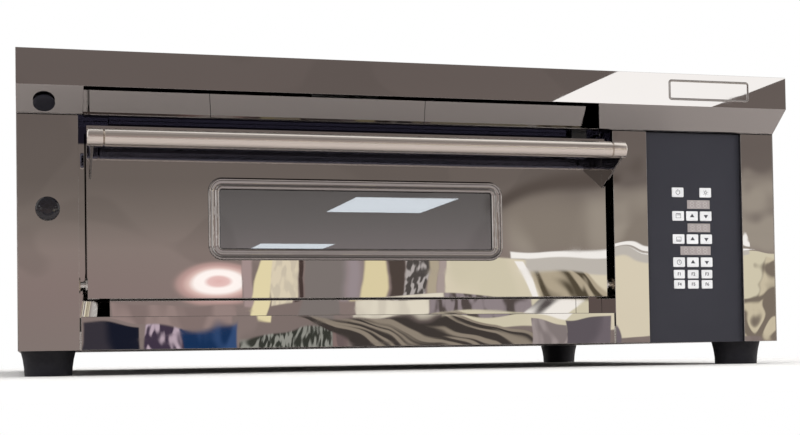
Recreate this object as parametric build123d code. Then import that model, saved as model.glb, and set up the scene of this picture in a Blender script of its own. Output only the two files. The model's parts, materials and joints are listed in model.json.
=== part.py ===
from build123d import *
from math import radians, sin, cos, hypot
import os

# Electric deck oven with one baking chamber. Millimetres, +Z up.
# The origin is on the floor, in the middle of the oven's whole footprint.
# +X runs to the right of someone facing the door, and the door opens towards -Y.

# Cabinet
cabinet_width = 1340.0
cabinet_depth = 1030.0
body_height = 474.0
casing_sheet = 1.5
frame_sheet = 2.0
left_column_width = 96.0
trim_width = 65.3
control_width = 186.7
kick_height = 53.8
kick_side_gap = 2.5
louvre_length = 90.0
louvre_slot = 7.0
louvre_pitch = 20.0
louvre_count = 12
louvre_wing = 9.0
louvre_rear_inset = 150.0
louvre_rise = 90.0

# Crown over the door
crown_reach = 49.0
fascia_height = 57.5
slope_drop = 37.5
crown_depth = 100.0
pocket_left_gap = 7.5
pocket_right_gap = 25.7
pocket_taper = 20.0
insert_setback = 3.0
insert_slot = 4.0
insert_hem = 10.0
insert_end_gap = 32.5
insert_taper = 7.0
plate_right_inset = 74.0
plate_width = 156.5
plate_height = 36.6
plate_thickness = 1.2
plate_rim = 3.0
plate_rim_height = 2.2
plate_corner = 5.0
plate_top_drop = 10.7

# Feet and the floor of the cabinet
foot_height = 41.0
foot_top_radius = 44.0
foot_waist_radius = 39.6
foot_base_radius = 38.0
foot_side_inset = 48.0
foot_front_inset = 67.0
foot_rear_inset = 65.0
foot_bolt_radius = 5.0
foot_bolt_fit = 0.3
foot_bolt_head_radius = 8.5
foot_bolt_head_height = 6.4
foot_counterbore_depth = 14.0
foot_counterbore_radius = 11.0
foot_nut_height = 8.0
tray_wall_height = 30.0
rail_height = 55.5
rail_width = 60.0
rail_count = 3

# Door
door_side_gap = 13.35
door_top_gap = 16.0
door_base_gap = 29.2
door_setback = 5.0
door_pan_depth = 25.0
plinth_depth = 28.0
plinth_side_inset = 20.0
plinth_base_inset = 26.0
plinth_top_inset = 4.0
seal_space = 4.0
window_opening_width = 470.0
window_opening_height = 110.0
window_opening_radius = 14.0
bezel_width = 13.5
bezel_side_width = 20.5
bezel_base = 2.0
bezel_ridge = 4.6
bezel_round_share = 0.4
bezel_corner_radius = 23.0
window_rebate = 9.0
window_drop = 9.0
glass_thickness = 4.0
tunnel_wall = 1.5
inner_glass_lip = 8.0

# Handle
handle_radius = 14.0
handle_overhang = 3.0
handle_cap_length = 29.0
handle_cap_gap = 0.6
handle_wall = 1.5
handle_reach = 80.0
handle_drop = 31.0
bracket_thickness = 4.0
bracket_foot_drop = 88.0
bracket_head_drop = 12.0
bracket_cap_inset = 6.0

# Door hinge
hinge_rise = 22.0
hinge_setback = 14.0
hinge_pin_radius = 6.0
hinge_fit = 0.05
hinge_flange_radius = 12.0
hinge_flange_thickness = 3.0
hinge_nut_radius = 9.0
hinge_nut_thickness = 6.0
hinge_boss_radius = 11.0
hinge_bush_wall = 3.0
hinge_bush_length = 12.0
bush_flange_radius = 13.0
bush_flange_thickness = 2.0
lever_thickness = 4.0
lever_gap = 2.0
lever_arm = 28.0
lever_tip_radius = 6.0
hook_radius = 3.0
hook_length = 14.0
spring_radius = 9.0
spring_wire_radius = 1.3
spring_pitch = 3.6
spring_stem_radius = 2.6
spring_plug_height = 9.0
spring_plug_rim = 3.0
spring_plug_fit = 0.2
spring_stem_height = 12.0

# Mouth and baking chamber
mouth_plate = 2.0
left_jamb_width = 51.5
right_jamb_width = 50.2
chamber_depth = 720.0
liner_sheet = 1.5
insulation_thickness = 50.0
ceiling_insulation_thickness = 42.5
element_zone = 27.0
stone_thickness = 15.0
stone_edge_gap = 5.0
stone_front_gap = 4.0
sill_step = 2.0
lip_depth = 12.0
lip_height = 6.0
lip_end_gap = 1.5
switch_width = 28.0
switch_height = 14.0
switch_depth = 26.0
switch_right_inset = 34.7
seal_width = 10.0
seal_margin = 3.0
seal_clearance = 0.3

# Heating elements, probes and lamp
element_radius = 4.25
element_fit = 0.4
element_count = 5
element_leg_spacing = 60.0
element_pitch = 140.0
element_first_inset = 80.0
element_left_inset = 42.0
element_tail = 25.0
lower_element_rise = 13.0
upper_element_drop = 16.0
support_thickness = 2.0
support_count = 3
support_inset = 70.0
support_hole_fit = 0.15
probe_radius = 3.0
probe_fit = 0.4
probe_reach = 60.0
probe_tail = 30.0
probe_head_radius = 7.0
probe_head_length = 12.0
upper_probe_drop = 40.0
lower_probe_rise = 13.0
lamp_setback = 110.0
lamp_radius = 25.5
lamp_fit = 0.5
lamp_tail = 30.0
lamp_flange_radius = 31.0
lamp_flange_thickness = 3.0
lens_radius = 30.0
lens_thickness = 4.0
lens_dome = 3.0

# Chamber exhaust and its damper
port_setback = 636.0
port_length = 50.0
port_height = 50.0
duct_sheet = 1.5
plenum_front_setback = 526.0
plenum_width = 46.5
plenum_height = 72.0
flue_spigot_radius = 25.0
hood_spigot_radius = 30.0
spigot_wall = 1.5
spigot_reach = 30.0
spigot_fit = 0.3
spigot_collar_width = 3.0
spigot_collar_thickness = 1.5
damper_side_inset = 47.6
damper_height_share = 0.6
damper_rod_radius = 4.0
damper_rod_fit = 0.08
damper_hole_fit = 0.5
damper_plate_length = 70.0
damper_plate_height = 58.0
damper_plate_thickness = 1.5
damper_plate_gap = 0.5
damper_knob_radius = 19.25
damper_knob_height = 8.4
damper_knob_edge = 3.4
damper_knob_gap = 0.6
damper_bush_radius = 8.0
damper_bush_length = 18.0
hood_duct_width = 120.0
hood_duct_height = 66.0
hood_duct_drop = 11.0

# Hood button on the sloped face
button_side_inset = 43.0
button_setback = 27.0
button_radius = 17.0
button_height = 5.2
button_edge = 2.2
button_gap = 3.6
button_stem_radius = 5.0
button_bush_radius = 9.0
button_bush_length = 14.0
button_bush_flange_radius = 13.0
button_bush_flange = 2.0
button_collar_radius = 8.0
button_collar_thickness = 2.0
button_fit = 0.08
button_seat = 0.3

# Control panel
control_setback = 8.0
control_sheet = 2.0
control_lap = 12.0
control_top_gap = 1.0
key_width = 22.8
key_height = 17.2
small_key_width = 21.2
small_key_height = 15.3
key_column_inset = 63.0
key_column_pitch = 27.3
key_proud = 1.2
key_back = 1.0
key_flange = 1.0
key_flange_thickness = 0.8
key_fit = 0.35
key_corner = 1.6
key_row_rises = [270.5, 227.8, 186.0, 144.2, 122.5, 104.2]
display_rises = [248.9, 206.6, 165.2]
display_insets = [81.7, 81.7, 66.6]
display_right_inset = 60.3
display_height = 15.6
display_fit = 0.3
display_sink = 0.3
board_gap = 0.7
board_thickness = 1.6
board_margin = 8.0

# Electric parts behind the control panel
mains_board_setback = 230.0
mains_board_length = 220.0
mains_board_height = 115.0
mains_board_rise = 180.0
standoff_height = 10.0
standoff_radius = 3.0
standoff_inset = 12.0
chip_length = 34.0
chip_width = 26.0
chip_height = 12.0
contactor_count = 3
contactor_setback = 480.0
contactor_pitch = 62.0
contactor_length = 48.0
contactor_height = 84.0
contactor_depth = 72.0
contactor_rise = 210.0
contactor_step = 16.0
terminal_count = 5
terminal_setback = 800.0
terminal_pitch = 20.0
terminal_length = 18.0
terminal_height = 46.0
terminal_depth = 40.0
terminal_rise = 90.0
electric_rail_height = 35.0
electric_rail_depth = 7.5
electric_rail_margin = 10.0

# Cable gland
gland_right_inset = 90.0
gland_rise = 60.0
gland_bore_radius = 9.0
gland_thread_radius = 14.0
gland_hex_radius = 19.0
gland_hex_length = 7.0
gland_dome_radius = 16.5
gland_dome_length = 17.0
gland_tail = 16.0
gland_nut_length = 6.0
gland_fit = 0.3

# Screws of the rear panel
screw_head_radius = 4.5
screw_head_height = 2.4
screw_shank_radius = 2.0
screw_shank_fit = 0.1
screw_edge_inset = 14.0
screw_columns = 5
screw_rows = 3

# One overrun serves every cut
overrun = 1.0

# Places worked out from the sizes
rear_reach = spigot_reach
handle_front = handle_reach - door_setback + handle_radius
left = -cabinet_width / 2
right = cabinet_width / 2
front = (handle_front - cabinet_depth - rear_reach) / 2
rear = front + cabinet_depth
casing_left = left + casing_sheet
casing_right = right - casing_sheet
casing_rear = rear - casing_sheet
body_base = foot_height
body_top = body_base + body_height
casing_top = body_top - casing_sheet
crown_base = body_top - fascia_height - slope_drop
recess_left = left + left_column_width
recess_right = right - 2 * trim_width - control_width
door_left = recess_left + door_side_gap
door_right = recess_right - door_side_gap
door_middle = (door_left + door_right) / 2
door_front = front + door_setback
pan_rear = door_front + door_pan_depth
door_rear = pan_rear + plinth_depth
door_top = crown_base - door_top_gap
kick_top = body_base + kick_height
door_base = kick_top + door_base_gap
mouth_front = door_rear + seal_space
mouth_rear = mouth_front + mouth_plate
hinge_y = door_front + hinge_setback
hinge_z = door_base + hinge_rise
tray_front = front + casing_sheet
tray_rear = casing_rear
tray_floor = body_base + frame_sheet
tray_top = body_base + tray_wall_height
rail_top = tray_floor + rail_height
liner_base = rail_top + insulation_thickness
chamber_floor = liner_base + liner_sheet
chamber_ceiling = crown_base - ceiling_insulation_thickness - liner_sheet
liner_top = chamber_ceiling + liner_sheet
chamber_left = recess_left + left_jamb_width
chamber_right = recess_right - right_jamb_width
liner_left = chamber_left - liner_sheet
liner_right = chamber_right + liner_sheet
chamber_back = mouth_rear + chamber_depth
liner_back = chamber_back + liner_sheet
insulation_back = liner_back + insulation_thickness
partition_left = recess_right
partition_right = partition_left + frame_sheet
stone_base = chamber_floor + element_zone
stone_top = stone_base + stone_thickness
mouth_base = stone_top - sill_step
control_left = recess_right + trim_width
control_right = control_left + control_width
control_front = front + control_setback
control_back = control_front + control_sheet
column_top = crown_base - control_top_gap
board_front = control_back + key_back + board_gap
board_back = board_front + board_thickness
damper_x = left + damper_side_inset
damper_z = body_base + (column_top - body_base) * damper_height_share
window_x = door_middle
window_z = (door_base + door_top) / 2 - window_drop
handle_y = door_front - handle_reach
handle_length = door_right - door_left + 2 * handle_overhang
handle_z = door_top - handle_drop
lower_element_z = chamber_floor + lower_element_rise
upper_element_z = chamber_ceiling - upper_element_drop
lamp_y = mouth_rear + lamp_setback
lamp_z = (stone_top + chamber_ceiling - 2 * upper_element_drop) / 2
plenum_front = mouth_rear + plenum_front_setback
plenum_left = damper_x - plenum_width / 2
plenum_right = damper_x + plenum_width / 2
hood_duct_z = casing_top - hood_duct_drop - hood_duct_height / 2
hood_duct_base = hood_duct_z - hood_duct_height / 2
slope_length = hypot(crown_reach, slope_drop)
slope_out = (0, -slope_drop / slope_length, -crown_reach / slope_length)
button_y = front - crown_reach + button_setback
button_z = crown_base + slope_drop - button_setback * slope_drop / crown_reach
pocket_left = recess_left + pocket_left_gap
pocket_right = recess_right - pocket_right_gap
gland_x = right - gland_right_inset
gland_z = body_base + gland_rise
tunnel_width = window_opening_width + 2 * window_rebate + 2 * tunnel_wall
tunnel_height = window_opening_height + 2 * window_rebate + 2 * tunnel_wall
tunnel_radius = window_opening_radius + window_rebate
outer_glass_y = (door_front + casing_sheet, door_front + casing_sheet + glass_thickness)
inner_glass_y = (door_rear - casing_sheet - glass_thickness, door_rear - casing_sheet)

CORNER = (Align.MIN, Align.MIN, Align.MIN)
BASE = (Align.CENTER, Align.CENTER, Align.MIN)
ALONG_X = (1, 0, 0)
ALONG_Y = (0, 1, 0)
BACK_X = (-1, 0, 0)
BACK_Y = (0, -1, 0)
button_middle = (left + button_side_inset, button_y, button_z)
button_plane = Plane(origin=button_middle, x_dir=ALONG_X, z_dir=slope_out)

os.makedirs("parts", exist_ok=True)


def save(name, *solids):
    """Writes one sub-part, of one solid or a group of separate ones."""
    shape = solids[0] if len(solids) == 1 else Compound(children=list(solids))
    export_step(shape, f"parts/{name}.step")


def block(x, y, z):
    """A box from the low to the high place on each axis."""
    sizes = [high - low for low, high in (x, y, z)]
    return Pos(x[0], y[0], z[0]) * Box(*sizes, align=CORNER)


def prism(outline, x):
    """An outline of (y, z) points, run from one x to another."""
    start, end = x
    points = [(start, y, z) for y, z in outline]
    return extrude(make_face(Polyline(*points, close=True)), end - start, dir=ALONG_X)


def bar(start, direction, length, radius):
    """A round bar that leaves a point in a direction."""
    return Plane(origin=start, z_dir=direction) * Cylinder(radius, length, align=BASE)


def turned(start, direction, outline):
    """A solid of revolution from (radius, distance) points."""
    points = [(radius, 0, distance) for radius, distance in outline]
    lathe = revolve(make_face(Polyline(*points, close=True)), Axis.Z)
    return Plane(origin=start, z_dir=direction) * lathe


def slab(x, z, width, height, radius, y):
    """A plate with rounded corners, upright and square to Y."""
    start, end = y
    face = Plane(origin=(x, start, z), x_dir=ALONG_X, z_dir=ALONG_Y) * RectangleRounded(width, height, radius)
    return extrude(face, end - start)


def mirrored(x):
    """The same place on the other side of the door's middle."""
    return 2 * door_middle - x


# Cabinet


def foot_places():
    """The four feet's centres on the floor."""
    columns = (left + foot_side_inset, right - foot_side_inset)
    rows = (front + foot_front_inset, rear - foot_rear_inset)
    return [(x, y) for x in columns for y in rows]


def rail_places():
    """The middle of each cross rail under the chamber's insulation."""
    span = insulation_back - mouth_rear - rail_width
    return [mouth_rear + rail_width / 2 + span * i / (rail_count - 1) for i in range(rail_count)]


def base_frame():
    """The floor tray with its cross rails and the wall beside the electric parts."""
    tray = block((casing_left, casing_right), (tray_front, tray_rear), (body_base, tray_top))
    tray -= block(
        (casing_left + frame_sheet, casing_right - frame_sheet),
        (tray_front + frame_sheet, tray_rear - frame_sheet),
        (tray_floor, tray_top + overrun),
    )
    for y in rail_places():
        low, high = y - rail_width / 2, y + rail_width / 2
        rail = block((recess_left, partition_left), (low, high), (tray_floor, rail_top))
        rail -= block(
            (recess_left - overrun, partition_left),
            (low + frame_sheet, high - frame_sheet),
            (tray_floor, rail_top - frame_sheet),
        )
        tray += rail
    crown_rear = front + crown_depth
    wall = [
        (mouth_rear, tray_floor),
        (mouth_rear, crown_base),
        (crown_rear, crown_base),
        (crown_rear, casing_top),
        (tray_rear, casing_top),
        (tray_rear, tray_floor),
    ]
    tray += prism(wall, (partition_left, partition_right))
    bay = (control_left - control_lap, control_right + control_lap)
    tray -= block(bay, (tray_front - overrun, control_back), (body_base - overrun, tray_top + overrun))
    tray += block(bay, (control_back, control_back + frame_sheet), (body_base, tray_top))
    for x, y in foot_places():
        tray -= Pos(x, y, body_base) * Cylinder(
            foot_bolt_radius + foot_bolt_fit, 2 * frame_sheet + overrun
        )
    for tool in side_hole_cutters():
        tray -= tool
    return tray


def side_hole_cutters():
    """Round cutters for what passes from the chamber to the electric parts."""
    start = chamber_right - overrun
    length = partition_right - chamber_right + 2 * overrun
    cutters = []
    for z in (lower_element_z, upper_element_z):
        for y in element_leg_places():
            cutters.append(bar((start, y, z), ALONG_X, length, element_radius + element_fit))
    for y, z in probe_places():
        cutters.append(bar((start, y, z), ALONG_X, length, probe_radius + probe_fit))
    cutters.append(bar((start, lamp_y, lamp_z), ALONG_X, length, lamp_radius + lamp_fit))
    return cutters


def rubber_feet():
    """Round feet that draw in towards the floor, with a counterbore for the bolt."""
    feet = []
    for x, y in foot_places():
        waist = ThreePointArc(
            (foot_top_radius, 0, foot_height),
            (foot_waist_radius, 0, foot_height / 2),
            (foot_base_radius, 0, 0),
        )
        rest = Polyline(
            (foot_base_radius, 0, 0), (0, 0, 0), (0, 0, foot_height), (foot_top_radius, 0, foot_height)
        )
        foot = revolve(make_face(waist + rest), Axis.Z)
        foot -= Cylinder(foot_bolt_radius + foot_bolt_fit, foot_height + overrun, align=BASE)
        foot -= Cylinder(foot_counterbore_radius, foot_counterbore_depth, align=BASE)
        feet.append(Pos(x, y, 0) * foot)
    return feet


def foot_bolts():
    """A bolt and its nut in each foot, as one tightened piece."""
    bolts = []
    head_base = foot_counterbore_depth - foot_bolt_head_height
    shank = foot_height + frame_sheet + foot_nut_height - foot_counterbore_depth
    for x, y in foot_places():
        hexagon = extrude(RegularPolygon(foot_bolt_head_radius, 6), foot_bolt_head_height)
        bolt = Pos(x, y, head_base) * hexagon
        bolt += Pos(x, y, foot_counterbore_depth) * Cylinder(foot_bolt_radius, shank, align=BASE)
        nut = extrude(RegularPolygon(foot_bolt_head_radius, 6), foot_nut_height)
        bolt += Pos(x, y, tray_floor) * nut
        bolts.append(bolt)
    return bolts


def screw_places():
    """Where the rear panel is screwed on, as (x, z)."""
    columns = [
        casing_left + screw_edge_inset
        + (casing_right - casing_left - 2 * screw_edge_inset) * i / (screw_columns - 1)
        for i in range(screw_columns)
    ]
    rows = [
        body_base + screw_edge_inset + (casing_top - body_base - 2 * screw_edge_inset) * i / (screw_rows - 1)
        for i in range(screw_rows)
    ]
    edge = (columns[0], columns[-1])
    return [(x, z) for x in columns for z in rows if x in edge or z != rows[1]]


def rear_screws():
    """Pan-head screws through the rear panel."""
    screws = []
    for x, z in screw_places():
        head = turned(
            (x, rear, z),
            ALONG_Y,
            [
                (0, 0),
                (screw_head_radius, 0),
                (screw_head_radius, screw_head_height / 2),
                (screw_head_radius / 2, screw_head_height),
                (0, screw_head_height),
            ],
        )
        screws.append(head + bar((x, casing_rear, z), ALONG_Y, casing_sheet, screw_shank_radius))
    return screws


def side_panel(x):
    """A flat side of the casing, notched round the crown."""
    crown_rear = front + crown_depth
    outline = [
        (front, body_base),
        (rear, body_base),
        (rear, body_top),
        (crown_rear, body_top),
        (crown_rear, crown_base),
        (front, crown_base),
    ]
    return prism(outline, x)


def louvre_places():
    """The rear edge of each louvre slot on the right side, as (y, z)."""
    y = rear - louvre_rear_inset
    return [(y, body_base + louvre_rise + louvre_pitch * i) for i in range(louvre_count)]


def right_side_panel():
    """The side beside the electric parts, with louvres pressed inwards."""
    panel = side_panel((casing_right, right))
    for y, z in louvre_places():
        through = (casing_right - overrun, right + overrun)
        panel -= block(through, (y - louvre_length, y), (z, z + louvre_slot))
        wing = [
            (casing_right, z + louvre_slot),
            (casing_right - louvre_wing, z),
            (casing_right - louvre_wing, z + casing_sheet),
            (casing_right, z + louvre_slot + casing_sheet),
        ]
        points = [(px, y - louvre_length, pz) for px, pz in wing]
        panel += extrude(make_face(Polyline(*points, close=True)), louvre_length, dir=ALONG_Y)
    return panel


def rear_panel():
    """The back of the casing, holed for the spigots, the gland and its screws."""
    panel = block((casing_left, casing_right), (casing_rear, rear), (body_base, casing_top))
    start = casing_rear - overrun
    length = casing_sheet + 2 * overrun
    holes = [
        (damper_x, damper_z, flue_spigot_radius + spigot_fit),
        (door_middle, hood_duct_z, hood_spigot_radius + spigot_fit),
        (gland_x, gland_z, gland_thread_radius + gland_fit),
    ]
    holes += [(x, z, screw_shank_radius + screw_shank_fit) for x, z in screw_places()]
    for x, z, radius in holes:
        panel -= bar((x, start, z), ALONG_Y, length, radius)
    return panel


def top_panel():
    """The flat top behind the crown."""
    return block((casing_left, casing_right), (front + crown_depth, rear), (casing_top, body_top))


# Crown


def crown_outline(inset):
    """The crown's side view as (y, z) points, drawn in by a wall."""
    slant = inset * (slope_length - crown_reach) / slope_drop
    knee = inset * (slope_length - slope_drop) / crown_reach
    return [
        (front - crown_reach + inset, body_top - inset),
        (front - crown_reach + inset, crown_base + slope_drop + knee),
        (front + slant, crown_base + inset),
        (front + crown_depth - inset, crown_base + inset),
        (front + crown_depth - inset, body_top - inset),
    ]


def crown_hood():
    """The crown's folded shell, with a pocket cut in its sloped face."""
    shell = prism(crown_outline(0), (left, right))
    inside = crown_outline(casing_sheet)
    bays = [
        (casing_left, pocket_left - casing_sheet),
        (pocket_left, pocket_right),
        (pocket_right + casing_sheet, casing_right),
    ]
    for bay in bays:
        shell -= prism(inside, bay)
    low, high = crown_base + casing_sheet, crown_base + slope_drop
    cut = [
        (pocket_left, low),
        (pocket_right, low),
        (pocket_right - pocket_taper, high),
        (pocket_left, high),
    ]
    points = [(x, front - crown_reach - overrun, z) for x, z in cut]
    shell -= extrude(make_face(Polyline(*points, close=True)), crown_reach + 2 * casing_sheet, dir=ALONG_Y)
    shell -= button_plane * Cylinder(button_bush_radius + button_seat, 4 * casing_sheet)
    shell -= block(
        (door_middle - hood_duct_width / 2, door_middle + hood_duct_width / 2),
        (front + crown_depth - casing_sheet - overrun, front + crown_depth + overrun),
        (hood_duct_base + duct_sheet, hood_duct_base + hood_duct_height - duct_sheet),
    )
    return shell


def hood_insert_panel():
    """The plate just behind the crown's pocket, with a steam slot above it."""
    head, foot = crown_base + slope_drop - insert_slot, crown_base + casing_sheet
    lean = crown_reach / slope_drop
    share = slope_length / slope_drop
    head_y = front - lean * (head - crown_base) + insert_setback * share
    foot_y = front - lean * (foot - crown_base) + insert_setback * share
    outline = [
        (head_y, head),
        (foot_y, foot),
        (foot_y + insert_hem, foot),
        (foot_y + insert_hem, foot + casing_sheet),
        (foot_y + (share - lean) * casing_sheet, foot + casing_sheet),
        (head_y + (share + lean) * casing_sheet, head - casing_sheet),
        (head_y + insert_hem, head - casing_sheet),
        (head_y + insert_hem, head),
    ]
    end = pocket_right - insert_end_gap
    panel = prism(outline, (pocket_left, end))
    wedge = [(end, foot), (end, head), (end - insert_taper, head)]
    points = [(x, head_y - overrun, z) for x, z in wedge]
    reach = crown_reach + insert_hem + 2 * overrun
    return panel - extrude(make_face(Polyline(*points, close=True)), reach, dir=ALONG_Y)


def name_plate():
    """A bare plate with a raised rounded rim on the crown's face."""
    x = right - plate_right_inset - plate_width / 2
    z = body_top - plate_top_drop - plate_height / 2
    face = front - crown_reach
    base = face - plate_thickness
    plate = slab(x, z, plate_width, plate_height, plate_corner, (base, face))
    rim = slab(x, z, plate_width, plate_height, plate_corner, (face - plate_rim_height, base))
    rim -= slab(
        x,
        z,
        plate_width - 2 * plate_rim,
        plate_height - 2 * plate_rim,
        plate_corner - plate_rim,
        (face - plate_rim_height - overrun, base + overrun),
    )
    return plate + rim


# Front


def left_front_column():
    """The column left of the door, with a return along the door's recess."""
    column = block((casing_left, recess_left), (front, front + casing_sheet), (body_base, column_top))
    column += block(
        (recess_left - casing_sheet, recess_left), (front, mouth_front), (tray_top, column_top)
    )
    column -= bar(
        (damper_x, front - overrun, damper_z),
        ALONG_Y,
        casing_sheet + 2 * overrun,
        damper_rod_radius + damper_hole_fit,
    )
    column -= bar(
        (recess_left + overrun, hinge_y, hinge_z),
        BACK_X,
        casing_sheet + 2 * overrun,
        hinge_pin_radius + hinge_bush_wall,
    )
    return column


def control_trim_inner():
    """The trim between the door's recess and the control panel."""
    trim = block((recess_right, control_left), (front, front + casing_sheet), (body_base, column_top))
    trim += block((recess_right, recess_right + casing_sheet), (front, mouth_front), (tray_top, column_top))
    lining = (control_left - casing_sheet, control_left)
    trim += block(lining, (front, control_front), (body_base, column_top))
    trim -= bar(
        (recess_right - overrun, hinge_y, hinge_z),
        ALONG_X,
        casing_sheet + 2 * overrun,
        hinge_pin_radius + hinge_bush_wall,
    )
    return trim


def control_trim_outer():
    """The trim at the right edge."""
    trim = block((control_right, casing_right), (front, front + casing_sheet), (body_base, column_top))
    lining = (control_right, control_right + casing_sheet)
    trim += block(lining, (front, control_front), (body_base, column_top))
    return trim


def kick_panel():
    """The panel under the door, folded back over its top edge."""
    x = (recess_left + kick_side_gap, recess_right - kick_side_gap)
    panel = block(x, (front, front + casing_sheet), (body_base, kick_top))
    panel += block(x, (front, mouth_rear), (kick_top - casing_sheet, kick_top))
    return panel


# Mouth and chamber


def mouth_frame():
    """Two jambs, the sill and the lintel with its drip lip."""
    y = (mouth_front, mouth_rear)
    left_jamb = block((recess_left, chamber_left), y, (kick_top, crown_base))
    right_jamb = block((chamber_right, recess_right), y, (kick_top, crown_base))
    sill = block((chamber_left, chamber_right), y, (kick_top, mouth_base))
    lintel = block((chamber_left, chamber_right), y, (chamber_ceiling, crown_base))
    lip_end = recess_right - switch_right_inset - switch_width - lip_end_gap
    lintel += block(
        (chamber_left, lip_end), (mouth_front - lip_depth, mouth_front), (crown_base - lip_height, crown_base)
    )
    return [left_jamb, right_jamb, sill, lintel]


def door_switch():
    """The switch that the closed door's top edge passes under."""
    x = recess_right - switch_right_inset
    return block(
        (x - switch_width, x),
        (mouth_front - switch_depth, mouth_front),
        (crown_base - switch_height, crown_base),
    )


def door_seal():
    """A square cord of sealing round the mouth."""
    x = (chamber_left - seal_margin, chamber_right + seal_margin)
    z = (mouth_base - seal_margin, chamber_ceiling + seal_margin)
    y = (door_rear + seal_clearance, mouth_front)
    ring = block(
        (x[0] - seal_width, x[1] + seal_width), y, (z[0] - seal_width, z[1] + seal_width)
    )
    return ring - block(x, (y[0] - overrun, y[1] + overrun), z)


def chamber_liner():
    """The five-sided baking chamber."""
    liner = block((liner_left, liner_right), (mouth_rear, liner_back), (liner_base, liner_top))
    liner -= block(
        (chamber_left, chamber_right), (mouth_rear - overrun, chamber_back), (chamber_floor, chamber_ceiling)
    )
    for tool in side_hole_cutters():
        liner -= tool
    return liner - port_block(0, (liner_left - overrun, chamber_left + overrun))


def port_block(wall, x):
    """The square way out of the chamber's left side, with a wall round it."""
    y = mouth_rear + port_setback
    return block(
        x,
        (y - port_length / 2 - wall, y + port_length / 2 + wall),
        (damper_z - port_height / 2 - wall, damper_z + port_height / 2 + wall),
    )


def insulation():
    """The boards round the chamber, as one hollow block open to the door."""
    jacket = block((recess_left, partition_left), (mouth_rear, insulation_back), (rail_top, crown_base))
    jacket -= block(
        (liner_left, liner_right), (mouth_rear - overrun, liner_back), (liner_base, liner_top)
    )
    for tool in side_hole_cutters():
        jacket -= tool
    return jacket - port_block(duct_sheet, (recess_left - overrun, liner_left + overrun))


def baking_stone():
    """The stone slab that the baking stands on."""
    return block(
        (chamber_left + stone_edge_gap, chamber_right - stone_edge_gap),
        (mouth_rear + stone_front_gap, chamber_back - stone_edge_gap),
        (stone_base, stone_top),
    )


def element_middles():
    """The middle of each hairpin element, from the door backwards."""
    return [mouth_rear + element_first_inset + element_pitch * i for i in range(element_count)]


def element_leg_places():
    """Each straight leg's place from front to back."""
    offsets = (-element_leg_spacing / 2, element_leg_spacing / 2)
    return [y + offset for y in element_middles() for offset in offsets]


def heating_elements():
    """Hairpin elements above and below, whose ends reach the electric parts."""
    start = chamber_left + element_left_inset + element_leg_spacing / 2
    end = partition_right + element_tail
    elements = []
    for z in (lower_element_z, upper_element_z):
        for y in element_middles():
            low, high = y - element_leg_spacing / 2, y + element_leg_spacing / 2
            path = Line((end, low, z), (start, low, z))
            path += ThreePointArc((start, low, z), (start - element_leg_spacing / 2, y, z), (start, high, z))
            path += Line((start, high, z), (end, high, z))
            section = Plane(origin=(end, low, z), z_dir=BACK_X) * Circle(element_radius)
            elements.append(sweep(section, path=path))
    return elements


def element_supports():
    """Holed strips that carry the elements, the lower ones under the stone."""
    first = chamber_left + element_left_inset + element_leg_spacing + support_inset
    last = chamber_right - probe_reach - support_inset
    y = (mouth_rear + stone_front_gap, chamber_back - stone_edge_gap)
    levels = (
        (chamber_floor, stone_base, lower_element_z),
        (2 * upper_element_z - chamber_ceiling, chamber_ceiling, upper_element_z),
    )
    strips = []
    for low, high, element_z in levels:
        for i in range(support_count):
            x = first + (last - first) * i / (support_count - 1)
            strip = block((x, x + support_thickness), y, (low, high))
            for leg in element_leg_places():
                strip -= bar(
                    (x - overrun, leg, element_z),
                    ALONG_X,
                    support_thickness + 2 * overrun,
                    element_radius + support_hole_fit,
                )
            strips.append(strip)
    return strips


def probe_places():
    """The two temperature probes, as (y, z)."""
    y = mouth_rear + element_first_inset + element_pitch * 2 + element_pitch / 2
    return [(y, chamber_ceiling - upper_probe_drop), (y, chamber_floor + lower_probe_rise)]


def temperature_probes():
    """Rods that reach into the chamber from the electric parts' side."""
    start = chamber_right - probe_reach
    probes = []
    for y, z in probe_places():
        probe = bar((start, y, z), ALONG_X, partition_right + probe_tail - start, probe_radius)
        probe += bar((partition_right, y, z), ALONG_X, probe_head_length, probe_head_radius)
        probes.append(probe)
    return probes


def chamber_lamp():
    """The lamp holder in the chamber's right side."""
    start = chamber_right
    body = bar((start, lamp_y, lamp_z), ALONG_X, partition_right + lamp_tail - start, lamp_radius)
    return body + bar((partition_right, lamp_y, lamp_z), ALONG_X, lamp_flange_thickness, lamp_flange_radius)


def lamp_lens():
    """A shallow glass dome over the lamp, inside the chamber."""
    outline = [
        (0, 0),
        (lens_radius, 0),
        (lens_radius, lens_thickness),
        (lens_radius * cos(radians(45)), lens_thickness + lens_dome * sin(radians(45))),
        (0, lens_thickness + lens_dome),
    ]
    return turned((chamber_right, lamp_y, lamp_z), BACK_X, outline)


# Exhaust ducts and damper


def spigot(x, z, radius, start):
    """A round outlet tube with its collar, and its bore, from a duct's end to beyond the rear."""
    length = rear + rear_reach - start
    tube = bar((x, start, z), ALONG_Y, length, radius)
    tube += bar((x, rear, z), ALONG_Y, spigot_collar_thickness, radius + spigot_collar_width)
    bore = bar((x, start - overrun, z), ALONG_Y, length + 2 * overrun, radius - spigot_wall)
    return tube, bore


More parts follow.
